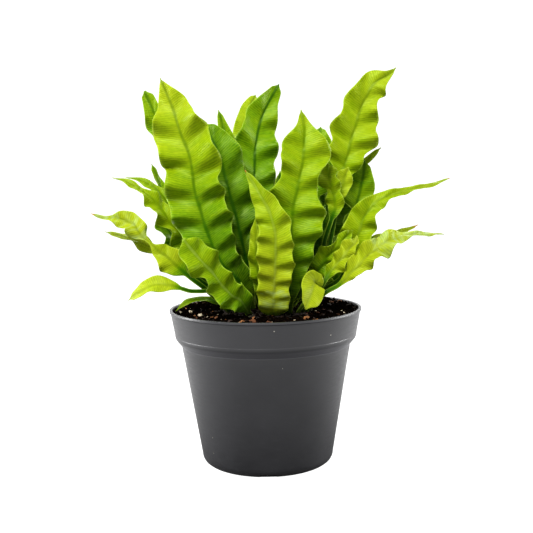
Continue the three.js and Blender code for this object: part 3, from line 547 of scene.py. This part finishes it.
def deselect():
    if bpy.context.object and bpy.context.object.mode != "OBJECT":
        bpy.ops.object.mode_set(mode="OBJECT")
    bpy.ops.object.select_all(action="DESELECT")


def only(piece):
    deselect()
    piece.select_set(True)
    bpy.context.view_layer.objects.active = piece


def hold(piece, node, material):
    """Gives a piece its material and its body, and hides the part in model.glb that it stands for."""
    piece.data.materials.clear()
    piece.data.materials.append(material)
    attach(piece, "root")
    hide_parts(node)


def apply_modifier(piece, kind, **settings):
    only(piece)
    modifier = piece.modifiers.new(kind.lower(), kind)
    for name, value in settings.items():
        setattr(modifier, name, value)
    bpy.ops.object.modifier_apply(modifier=modifier.name)


def smooth_shade(piece, degrees=180):
    only(piece)
    bpy.ops.object.shade_smooth_by_angle(angle=math.radians(degrees))


def edit_all():
    """Opens the active piece in edit mode with all of it selected."""
    bpy.ops.object.mode_set(mode="EDIT")
    bpy.ops.mesh.select_all(action="SELECT")


def turned(name, profile, sides):
    """A turned body: a disc, extruded and resized from each (radius, height) to the next."""
    deselect()
    radius, height = profile[0]
    bpy.ops.mesh.primitive_circle_add(
        vertices=sides, radius=radius * MM, fill_type="NGON", location=(0, 0, height * MM))
    piece = bpy.context.object
    piece.name = name
    bpy.ops.object.transform_apply(location=True)
    edit_all()
    for next_radius, next_height in profile[1:]:
        bpy.ops.mesh.extrude_region_move(
            TRANSFORM_OT_translate={"value": (0, 0, (next_height - height) * MM)})
        grow = next_radius / radius
        bpy.ops.transform.resize(value=(grow, grow, 1), center_override=(0, 0, next_height * MM))
        radius, height = next_radius, next_height
    bpy.ops.mesh.select_all(action="SELECT")
    bpy.ops.mesh.normals_make_consistent(inside=False)
    bpy.ops.object.mode_set(mode="OBJECT")
    return piece


def mesh_piece(name, points, faces, attributes):
    """A piece from points in millimetres. attributes holds values for each point by name."""
    mesh = bpy.data.meshes.new(name)
    mesh.from_pydata((np.asarray(points) * MM).tolist(), [], [list(face) for face in faces])
    for key, values in attributes.items():
        values = np.asarray(values, dtype=np.float32)
        vector = values.ndim == 2
        kept = mesh.attributes.new(key, "FLOAT_VECTOR" if vector else "FLOAT", "POINT")
        kept.data.foreach_set("vector" if vector else "value", values.ravel())
    mesh.update()
    piece = bpy.data.objects.new(name, mesh)
    bpy.context.scene.collection.objects.link(piece)
    return piece


# ---- pot

def make_pot():
    slope = (STEP_RADIUS - FOOT_RADIUS) / (STEP_BOTTOM - FOOT_ROUND)
    band_radius = FOOT_RADIUS + slope * (BAND_BOTTOM - FOOT_ROUND)
    lip_bottom = POT_HEIGHT - LIP_HEIGHT
    profile = []
    for i in range(FOOT_STEPS + 1):
        angle = i / FOOT_STEPS * math.pi / 2
        inset = FOOT_LINE if i <= FOOT_STEPS / 2 else 0
        radius = BASE_RADIUS - inset + FOOT_ROUND * math.sin(angle)
        profile.append((radius, FOOT_ROUND * (1 - math.cos(angle))))
    profile += [
        (band_radius, BAND_BOTTOM),
        (band_radius + BAND_THICKER, BAND_BOTTOM + 0.6),
        (STEP_RADIUS, STEP_BOTTOM),
        *((COLLAR_RADIUS + out, COLLAR_BOTTOM + up) for out, up in COLLAR_BEAD),
        (RIM_RADIUS - LIP_OVERHANG, lip_bottom),
        (RIM_RADIUS, lip_bottom + 0.5),
        (RIM_RADIUS, POT_HEIGHT),
        (RIM_RADIUS - LIP_OVERHANG - WALL, POT_HEIGHT),
        (COLLAR_RADIUS - WALL, COLLAR_BOTTOM + WALL_BEND),
        (STEP_RADIUS - WALL, STEP_BOTTOM + WALL_BEND),
        (FOOT_RADIUS - WALL, FOOT_ROUND + WALL_BEND),
        (BASE_RADIUS + FLOOR_ROUND, FLOOR),
    ]
    pot = turned("pot_shell", profile, POT_SIDES)
    apply_modifier(pot, "BEVEL", width=EDGE_ROUND * MM, segments=3, limit_method="ANGLE",
                   angle_limit=math.radians(EDGE_ANGLE))
    notches = make_notches()
    apply_modifier(pot, "BOOLEAN", operation="DIFFERENCE", solver="EXACT", object=notches)
    bpy.data.objects.remove(notches)
    smooth_shade(pot, CREASE_ANGLE)
    return pot


def make_notches():
    """The cutters for the drain notches: rounded bars round the foot."""
    deselect()
    middle = (DRAIN_START + DRAIN_DEPTH / 2) * MM
    size = (DRAIN_DEPTH * MM, DRAIN_WIDTH * MM, 2 * DRAIN_HEIGHT * MM)
    bars = []
    for i in range(DRAIN_COUNT):
        turn = i * 2 * math.pi / DRAIN_COUNT - math.pi / 2
        place = (middle * math.cos(turn), middle * math.sin(turn), 0)
        bpy.ops.mesh.primitive_cube_add(size=1, location=place, rotation=(0, 0, turn), scale=size)
        bars.append(bpy.context.object)
    for bar in bars:
        bar.select_set(True)
    bpy.context.view_layer.objects.active = bars[0]
    bpy.ops.object.transform_apply(location=True, rotation=True, scale=True)
    bpy.ops.object.join()
    edit_all()
    bpy.ops.mesh.bevel(offset=DRAIN_ROUND * MM, segments=3)
    bpy.ops.object.mode_set(mode="OBJECT")
    return bars[0]


# ---- soil and crown

def lumps(x, y, layer, size):
    """Natural roughness, about between -1 and 1, with lumps of a size in millimetres."""
    smoothness, finer_each_time, times = 0.8, 2.2, 4
    return noise.fractal(Vector((x, y, layer)) / size, smoothness, finer_each_time, times)


def soil_top(x, y):
    """The mound and low waves of the solid, and the heap that it lacks."""
    mound = SOIL_MOUND * (1 - (x * x + y * y) / (RIM_RADIUS * RIM_RADIUS))
    broad = math.sin(0.31 * x + 1.1) * math.cos(0.27 * y)
    fine = 0.6 * math.sin(0.55 * x - 0.43 * y)
    away = math.hypot(x - HEAP_PLACE[0], y - HEAP_PLACE[1]) / HEAP_SPREAD
    heap = SOIL_HEAP * math.exp(-away * away)
    return SOIL_EDGE + mound + heap + SOIL_RELIEF * (broad + fine)


def soil_edge_radius():
    top, step = RIM_RADIUS - LIP_OVERHANG - WALL, COLLAR_RADIUS - WALL
    bend = COLLAR_BOTTOM + WALL_BEND
    share = (SOIL_EDGE - bend) / (POT_HEIGHT - bend)
    return step + (top - step) * share - CLEARANCE


def make_soil():
    edge = soil_edge_radius()
    profile = [
        (BASE_RADIUS + FLOOR_ROUND - CLEARANCE, FLOOR + CLEARANCE),
        (FOOT_RADIUS - WALL - CLEARANCE, FOOT_ROUND + WALL_BEND),
        (STEP_RADIUS - WALL - CLEARANCE, STEP_BOTTOM + WALL_BEND + CLEARANCE),
        (COLLAR_RADIUS - WALL - CLEARANCE, COLLAR_BOTTOM + WALL_BEND + CLEARANCE),
    ]
    profile += [(edge * (1 - i / SOIL_RINGS), SOIL_EDGE) for i in range(SOIL_RINGS)]
    soil = turned("soil_bed", profile, SOIL_SIDES)
    for vertex in soil.data.vertices:
        x, y, z = vertex.co / MM
        if z > SOIL_EDGE - 0.01:
            # the outermost 3 mm go down to the level edge
            inside = min((edge - math.hypot(x, y)) / 3, 1)
            height = SOIL_EDGE + (soil_top(x, y) - SOIL_EDGE) * inside
            vertex.co.z = (height + SOIL_LUMPS * lumps(x, y, 0, 5) * inside) * MM
    smooth_shade(soil)
    return soil


def crown_top(x, y):
    """The height of the crown's dome. Outside the crown it is lower than its edge."""
    reach = math.hypot(x - CROWN_CENTRE[0], y - CROWN_CENTRE[1]) / CROWN_RADIUS
    return CROWN_EDGE + CROWN_DOME * (1 - reach * reach)


def make_crown():
    """The rhizome's low mound, with stringy relief."""
    profile = [(CROWN_RADIUS, SOIL_EDGE - CROWN_SUNK), (CROWN_RADIUS, CROWN_EDGE)]
    for i in range(1, CROWN_RINGS):
        share = 1 - i / CROWN_RINGS
        profile.append((CROWN_RADIUS * share, CROWN_EDGE + CROWN_DOME * (1 - share * share)))
    crown = turned("crown_mound", profile, CROWN_SIDES)
    for vertex in crown.data.vertices:
        vertex.co.x += CROWN_CENTRE[0] * MM
        vertex.co.y += CROWN_CENTRE[1] * MM
        x, y, z = vertex.co / MM
        if z > CROWN_EDGE - 0.01:
            vertex.co.z += CROWN_LUMPS * lumps(x, y, 3, 4) * MM
    smooth_shade(crown)
    return crown


def ground(x, y):
    """The top of the soil, or of the crown where that is higher."""
    on_crown = math.hypot(x - CROWN_CENTRE[0], y - CROWN_CENTRE[1]) < CROWN_RADIUS
    return max(soil_top(x, y), crown_top(x, y)) if on_crown else soil_top(x, y)


# ---- what lies loose on them

def random_places(rng, count, sizes, centre, radius):
    """Places in a circle, each with a diameter from the least to the greatest, most of them
    small."""
    places = []
    for _ in range(count):
        reach = radius * math.sqrt(rng.random())
        around = rng.uniform(0, 2 * math.pi)
        size = sizes[0] + (sizes[1] - sizes[0]) * rng.random() ** 2
        x = centre[0] + reach * math.cos(around)
        y = centre[1] + reach * math.sin(around)
        places.append((x, y, size))
    return places


def scattered(rng, name, shape, places, form, shade, sink):
    """Copies of a small shape on the ground at given places, turned at random, as one mesh. Each
    has a shade between the two, and sinks in by a share of its thickness."""
    points, faces = shape
    all_points = []
    all_faces = []
    shades = []
    for x, y, size in places:
        tilt = Matrix.Rotation(rng.uniform(0, 2 * math.pi), 3, "Z")
        tilt = tilt @ Matrix.Rotation(rng.gauss(0, TILT), 3, "X")
        tilt = tilt @ Matrix.Rotation(rng.gauss(0, TILT), 3, "Y")
        stretch = (1, rng.uniform(*form[0]), rng.uniform(*form[1]))
        base = Vector((x, y, ground(x, y) + size * stretch[2] * (0.5 - sink)))
        start = len(all_points)
        for point in points:
            jag = 1 + rng.uniform(-JAG, JAG)
            local = Vector(point[k] * stretch[k] * size / 2 * jag for k in range(3))
            all_points.append(base + tilt @ local)
        all_faces.extend([start + index for index in face] for face in faces)
        shades.extend([rng.uniform(*shade)] * len(points))
    return mesh_piece(name, all_points, all_faces, {"shade": shades})


def root_fibres(rng):
    """Fine roots and scales over the crown: thin three-sided strands that bend at random."""
    all_points = []
    all_faces = []
    shades = []
    for x, y, length in random_places(
            rng, FIBRE_COUNT, FIBRE_LENGTHS, CROWN_CENTRE, CROWN_RADIUS + 4):
        heading = rng.uniform(0, 2 * math.pi)
        thick = rng.uniform(0.2, 0.42)
        start = len(all_points)
        for i in range(FIBRE_KNOTS):
            place = Vector((x, y, ground(x, y) + 0.5 + rng.uniform(0, 0.7)))
            for k in range(3):
                turn = 2 * math.pi * k / 3
                aside = Vector((-math.sin(heading), math.cos(heading), 0)) * math.cos(turn)
                all_points.append(place + (aside + Vector((0, 0, math.sin(turn)))) * thick)
            x += math.cos(heading) * length / FIBRE_KNOTS
            y += math.sin(heading) * length / FIBRE_KNOTS
            heading += rng.gauss(0, 0.5)
        last = start + 3 * (FIBRE_KNOTS - 1)
        for knot in range(start, last, 3):
            for k in range(3):
                here, beside = knot + k, knot + (k + 1) % 3
                all_faces.append([here, beside, beside + 3, here + 3])
        all_faces.append([start + 2, start + 1, start])
        all_faces.append([last, last + 1, last + 2])
        shades.extend([rng.random()] * (3 * FIBRE_KNOTS))
    return mesh_piece("root_fibres", all_points, all_faces, {"shade": shades})


def taken_apart(piece):
    """A primitive's points and faces, for many copies. The primitive itself goes."""
    points = [tuple(vertex.co) for vertex in piece.data.vertices]
    faces = [list(polygon.vertices) for polygon in piece.data.polygons]
    bpy.data.objects.remove(piece)
    return points, faces


def pebble_shape():
    """A ball primitive of twenty faces."""
    deselect()
    bpy.ops.mesh.primitive_ico_sphere_add(subdivisions=1, radius=1)
    return taken_apart(bpy.context.object)


def chip_shape():
    """A cube primitive with its edges and corners cut off."""
    deselect()
    bpy.ops.mesh.primitive_cube_add(size=1.7)
    edit_all()
    bpy.ops.mesh.bevel(offset=0.3, segments=1)
    bpy.ops.object.mode_set(mode="OBJECT")
    return taken_apart(bpy.context.object)


# ---- fronds

def smooth(start, end, value):
    x = np.clip((value - start) / (end - start), 0, 1)
    return x * x * (3 - 2 * x)


def direction(azimuth, elevation):
    around, up = np.radians(azimuth), np.radians(elevation)
    return np.stack([np.cos(around) * np.cos(up), np.sin(around) * np.cos(up), np.sin(up)], -1)


def unit(vectors):
    return vectors / np.linalg.norm(vectors, axis=-1, keepdims=True)


def slot_point(ring, slot):
    x = CROWN_CENTRE[0] + RING_RADIUS[ring] * math.cos(math.radians(slot))
    y = CROWN_CENTRE[1] + RING_RADIUS[ring] * math.sin(math.radians(slot))
    return np.array([x, y, crown_top(x, y) - SOCKET_DEPTH])


def back_frond(index, name, ring, slot, half, heading, length, lean, look):
    """The whole row of a frond behind the plant."""
    point = slot_point(ring, slot)
    path = []
    for i in range(BACK_POINTS):
        share = (i + 0.5) / BACK_POINTS
        leaning = lean[0] + (lean[1] - lean[0]) * share
        point = point + direction(heading, 90 - leaning) * length / BACK_POINTS
        path.append(point)
    facing = heading + 180
    return (name, ring, slot, half, (facing, facing), lean, BACK_RUFFLE, index % 4, look, path,
            dict(wave=BACK_WAVE))


def centripetal_curve(points, samples=120):
    """A smooth curve through points, sampled: each stretch is a cubic whose tangents allow for
    how far apart its neighbours lie."""
    points = [np.asarray(p, float) for p in points]
    points = [2 * points[0] - points[1], *points, 2 * points[-1] - points[-2]]
    share = np.linspace(0, 1, samples, endpoint=False)[:, None]
    runs = []
    for before, start, end, after in zip(points, points[1:], points[2:], points[3:]):
        d0, d1, d2 = (np.linalg.norm(b - a) ** 0.5 for a, b in (
            (before, start), (start, end), (end, after)))
        leave = (start - before) / d0 - (end - before) / (d0 + d1) + (end - start) / d1
        arrive = (end - start) / d1 - (after - start) / (d1 + d2) + (after - end) / d2
        leave, arrive = leave * d1, arrive * d1
        square = -3 * start + 3 * end - 2 * leave - arrive
        cube = 2 * start - 2 * end + leave + arrive
        runs.append(start + leave * share + square * share ** 2 + cube * share ** 3)
    return np.concatenate([*runs, points[-2][None]])


def between(values, share):
    """The value at a share of the way through a list, from its first value to its last."""
    return np.interp(share, np.linspace(0, 1, len(values)), values)


def eased(values, share):
    """The same, but with a smooth curve through the values."""
    last = len(values) - 1
    place = np.clip(share, 0, 1) * last
    start = np.minimum(place.astype(int), last - 1)
    before, here, there, after = (
        np.take(values, np.clip(start + k, 0, last)) for k in (-1, 0, 1, 2))
    t = place - start
    bend = 2 * before - 5 * here + 4 * there - after
    twist = -before + 3 * here - 3 * there + after
    return here + 0.5 * t * (there - before + t * (bend + t * twist))


class Frond:
    """A frond along its midrib. Lengths are millimetres from its foot."""

    def __init__(self, name, ring, slot, half, face, rise, ruffle, phase, look, path, particular):
        vars(self).update(ORDINARY, name=name, node=name, half=half, face=face, rise=rise,
                          ruffle=ruffle, phase=phase, look=look)
        vars(self).update(particular)
        self.curve = centripetal_curve([slot_point(ring, slot), *path])
        steps = np.linalg.norm(np.diff(self.curve, axis=0), axis=1)
        self.reach = np.concatenate([[0], np.cumsum(steps)])
        self.length = self.reach[-1]
        self.waves = round(self.length / self.wave * STEPS_PER_WAVE) / STEPS_PER_WAVE

    def at(self, along):
        """The midrib's points."""
        return np.stack([np.interp(along, self.reach, self.curve[:, k]) for k in range(3)], -1)

    def turn(self, share):
        """The pleats' turn, in radians."""
        crowded = share * (1 + CROWDING * (1 - share))
        return 2 * np.pi * self.waves * crowded + self.phase * np.pi / 2

    def half_width(self, along):
        point = 1 - POINT_CUT * smooth(self.length - POINT_LENGTH, self.length, along)
        if self.outline:
            share = (along - self.bare) / (self.length - self.bare)
            bare_stalk = STALK_HALF * (1 - np.clip(share, 0, 1))
            return np.maximum(self.half * point * eased(self.outline, share), bare_stalk)
        widest = self.broadest * self.length
        share = np.clip((along - self.bare) / (widest - self.bare), 0, 1)
        start = self.foot * smooth(self.bare, self.bare + FLARE, along)
        widening = start + (1 - self.foot) * np.sin(share * np.pi / 2)
        lower = STALK_HALF + (self.half - STALK_HALF) * widening
        share = np.clip((along - widest) / (self.length - widest), 0, 1)
        narrowing = np.maximum(np.cos(share * np.pi / 2), 0) ** self.tip
        upper = TIP_HALF + (self.half - TIP_HALF) * narrowing
        return np.where(along < widest, lower, upper * point)

    def surface(self, along, across):
        """The middle of the blade: along in rows, across in columns from -1 to 1."""
        near = np.clip(along, 1, self.length - 1)
        ahead = unit(self.at(near + 1) - self.at(near - 1))
        share = along / self.length
        facing = direction(between(self.face, share), between(self.rise, share))
        right = unit(np.cross(ahead, facing))
        front = np.cross(right, ahead)

        side = np.where(across < 0, -1.0, 1.0)[None, :, None]
        reach = np.abs(across)[None, :]
        fold = np.radians(between(self.cup, share))[:, None, None]
        right, front = right[:, None, :], front[:, None, :]
        outward = right * side * np.cos(fold) + front * np.sin(fold)
        lift = front * np.cos(fold) - right * side * np.sin(fold)

        turn = self.turn(share)[:, None]
        lag = np.where(across < 0, 0, np.pi / 2)[None, :]
        pleat = turn + lag - PLEAT_SLANT * reach
        half = self.half_width(along)[:, None]
        grown = smooth(self.bare, self.bare + GROWN * self.length, along)[:, None]
        height = self.ruffle * grown * half / self.half
        slow = self.uneven * np.sin(SLOW_TURN * turn + side[..., 0])
        spread = half * reach * (1 + grown * (self.scallop * np.cos(pleat) + slow))
        crisp = self.crispness(turn, reach, side[..., 0])
        skewed = np.sin(pleat + PLEAT_SKEW * np.sin(pleat))
        rise = height * (reach ** PLEAT_BOW * skewed + reach * crisp)
        return self.at(along)[:, None, :] + outward * spread[..., None] + lift * rise[..., None]

    def crispness(self, turn, reach, side):
        """Small waves that grow towards the margin, where no two pleats are quite alike."""
        uneven = CRISP_SLOW * np.sin(0.37 * turn + self.phase + side) * np.sin(turn)
        return uneven + CRISP_FINE * reach ** 3 * np.sin(2.3 * turn + 1.7 * self.phase + 2 * side)

    def depth(self, along, across, rib_height):
        """Half the thickness: a round stalk that thins into a blade with a rounded midrib."""
        half = self.half_width(along)[:, None]
        offset = np.abs(across)[None, :] * half
        share = (along / self.length)[:, None]
        fade = 1 - RIB_FADE * smooth(0.1, 1.0, share)
        rib_half = RIB_HALF * (0.35 + 0.65 * fade)
        rib = rib_height * fade * np.exp(-(offset / rib_half) ** 2)
        edge = smooth(0.0, MARGIN, half - offset)
        blade = MARGIN_DEPTH + (BLADE_DEPTH - MARGIN_DEPTH) * edge + rib
        stalk = STALK_DEPTH * np.sqrt(np.maximum(1 - 0.95 * across[None, :] ** 2, 0))
        return stalk + (blade - stalk) * smooth(SOCKET_DEPTH, 6 * SOCKET_DEPTH, along)[:, None]


def make_frond(frond, material):
    rows = int(frond.length / ROW_STEP)
    along = np.linspace(0, frond.length, rows)
    fine = np.linspace(0, 1, HALF_COLUMNS) ** COLUMN_SPREAD
    across = np.concatenate([-fine[:0:-1], fine])
    middle = frond.surface(along, across)
    normal = unit(np.cross(np.gradient(middle, axis=1), np.gradient(middle, axis=0)))
    front = middle + normal * frond.depth(along, across, RIB_HEIGHT * RIB_FRONT)[..., None]
    back = middle - normal * frond.depth(along, across, RIB_HEIGHT)[..., None]

    columns = len(across)
    count = rows * columns
    index = np.arange(count).reshape(rows, columns)
    quads = np.stack([index[:-1, :-1], index[:-1, 1:], index[1:, 1:], index[1:, :-1]], -1)
    quads = quads.reshape(-1, 4)
    turned_round = quads[:, [0, 3, 2, 1]] + count
    rim = np.concatenate([index[:, 0], index[-1, 1:], index[-2::-1, -1], index[0, -2:0:-1]])
    beyond = np.roll(rim, -1)
    walls = np.stack([rim, beyond, beyond + count, rim + count], -1)

    half = frond.half_width(along)[:, None]
    signed = half * across[None, :]
    way = np.broadcast_to(along[:, None], signed.shape)
    blade = np.stack([signed, way, half - np.abs(signed)], -1).reshape(-1, 3)
    tip_age_and_shade, foot_age_and_shade, rib_shade, burn = frond.look
    share = way / frond.length
    # the age, with painted shade added: darker towards the foot, and darker looks on the fronds inside the
    # plant
    age_and_shade = tip_age_and_shade + (foot_age_and_shade - tip_age_and_shade) * (1 - share) ** FOOT_DARKENING
    age_and_shade = age_and_shade + STALK_AGE * (1 - smooth(frond.bare, frond.bare + STALK_FADE, way))
    dry = np.clip(1 - (frond.length - way) / burn, -1, 1) if burn else np.full_like(way, -1.0)
    tone = np.stack([age_and_shade, np.full_like(way, rib_shade), dry], -1).reshape(-1, 3)
    piece = mesh_piece(
        f"blade_{frond.name}",
        np.concatenate([front.reshape(-1, 3), back.reshape(-1, 3)]),
        np.concatenate([quads, turned_round, walls]),
        {"blade": np.concatenate([blade, blade]), "tone": np.concatenate([tone, tone]),
         "underside": np.repeat([0.0, 1.0], count)})
    smooth_shade(piece)
    hold(piece, f"frond_{frond.node}", material)


# ---- floor, light and camera

def make_floor():
    """A flat table top that runs out past the picture."""
    deselect()
    bpy.ops.mesh.primitive_plane_add(size=40, location=(0, 0, 0))
    floor = bpy.context.object
    floor.name = "floor"
    bpy.ops.object.transform_apply(location=True)
    floor.data.materials.append(opal_acrylic_table())


def make_light():
    """A white studio: its walls look white, and most of the light comes from large softboxes."""
    wall_light = 0.55  # brightness of the walls as light, beside the white that they look
    world = bpy.data.worlds.new("white_studio")
    world.use_nodes = True
    world.node_tree.nodes.clear()
    add = functools.partial(add_node, world.node_tree)
    path = add("LightPath").outputs
    seen = add("Math", path["Is Camera Ray"], path["Is Glossy Ray"], operation="MAXIMUM")
    bright = add("MapRange", seen, 0, 1, wall_light)
    walls = add("Background", Color="#ffffff", Strength=bright)
    add("OutputWorld", walls)
    bpy.context.scene.world = world
    for name, place, size, watts in [
            ("softbox_above", (-0.3, -0.8, 1.1), (0.6, 0.6), 28),
            ("softbox_left", (-1.1, 0.2, 0.3), (0.5, 1.0), 20),
            ("softbox_right", (1.1, 0.2, 0.3), (0.5, 1.0), 19),
            ("softbox_behind", (0.1, 0.9, 0.9), (0.8, 0.5), 8)]:
        data = bpy.data.lights.new(name, "AREA")
        data.shape = "RECTANGLE"
        data.size, data.size_y = size
        data.energy = watts
        lamp = bpy.data.objects.new(name, data)
        lamp.location = place
        aim = Vector((0, 0, 0.18)) - Vector(place)
        lamp.rotation_euler = aim.to_track_quat("-Z", "Y").to_euler()
        bpy.context.scene.collection.objects.link(lamp)


def make_camera():
    distance, height = 740.5, 235.5
    pitch, roll, yaw = (math.radians(a) for a in (6.08, -1.0, 0.11))
    focal_pixels, picture_pixels = 939.3, 533
    level = math.cos(pitch)
    ahead = Vector((math.sin(yaw) * level, math.cos(yaw) * level, -math.sin(pitch)))
    right = Vector((math.cos(yaw), -math.sin(yaw), 0))
    up = right.cross(ahead)
    rolled_right = right * math.cos(roll) + up * math.sin(roll)
    rolled_up = up * math.cos(roll) - right * math.sin(roll)
    data = bpy.data.cameras.new("camera")
    data.sensor_width = 36
    data.lens = focal_pixels / picture_pixels * data.sensor_width
    camera = bpy.data.objects.new("camera", data)
    turn = Matrix((rolled_right, rolled_up, -ahead)).transposed().to_4x4()
    camera.matrix_world = Matrix.Translation((0, -distance * MM, height * MM)) @ turn
    bpy.context.scene.collection.objects.link(camera)
    bpy.context.scene.camera = camera


# ---- the whole

def build():
    make_camera()
    make_light()
    make_floor()
    rng = random.Random(SEED)
    leaf, peat, bark, rhizome, perlite = (
        living_fern_blade(), moist_peat(), composted_bark(), fibrous_rhizome(), expanded_perlite())
    hold(make_pot(), "pot", injection_moulded_polypropylene())
    hold(make_soil(), "soil", peat)
    hold(make_crown(), "crown", rhizome)
    pebble, chip = pebble_shape(), chip_shape()
    middle, edge = (0, 0), soil_edge_radius() - 1.5
    crumbs = random_places(rng, 3600, (0.8, 3.0), middle, edge)
    chips = random_places(rng, 230, (1.8, 7.0), middle, edge)
    grains = random_places(rng, 34, (0.8, 2.6), middle, edge)
    litter = random_places(rng, 700, (0.8, 2.6), CROWN_CENTRE, CROWN_RADIUS - 1)
    for name, shape, places, form, shade, sink, node, material in [
            ("peat_crumbs", pebble, crumbs, CRUMB_FORM, (0, 1), 0.3, "soil", peat),
            ("bark_chips", chip, chips, CHIP_FORM, (0, 1), 0.3, "soil", bark),
            ("perlite_grains", pebble, grains, GRAIN_FORM, (0, 1), 0.3, "soil", perlite),
            ("pale_chips", chip, PALE_CHIPS, CRUMB_FORM, (0, 1), 0.1, "soil", perlite),
            ("orange_chips", chip, ORANGE_CHIPS, CHIP_FORM, (0.85, 1), 0.3, "soil", bark),
            ("crown_litter", pebble, litter, CRUMB_FORM, (0, 1), 0.3, "crown", peat)]:
        loose = scattered(rng, name, shape, places, form, shade, sink)
        hold(loose, node, material)
    hold(root_fibres(rng), "crown", rhizome)
    back_rows = [back_frond(i, *row) for i, row in enumerate(BACK_FRONDS)]
    for row in FRONDS + back_rows + CRUMPLED:
        make_frond(Frond(*row), leaf)


bpy.context.scene.view_settings.view_transform = "Standard"
bpy.context.scene.view_settings.look = "Medium High Contrast"
build()
deselect()
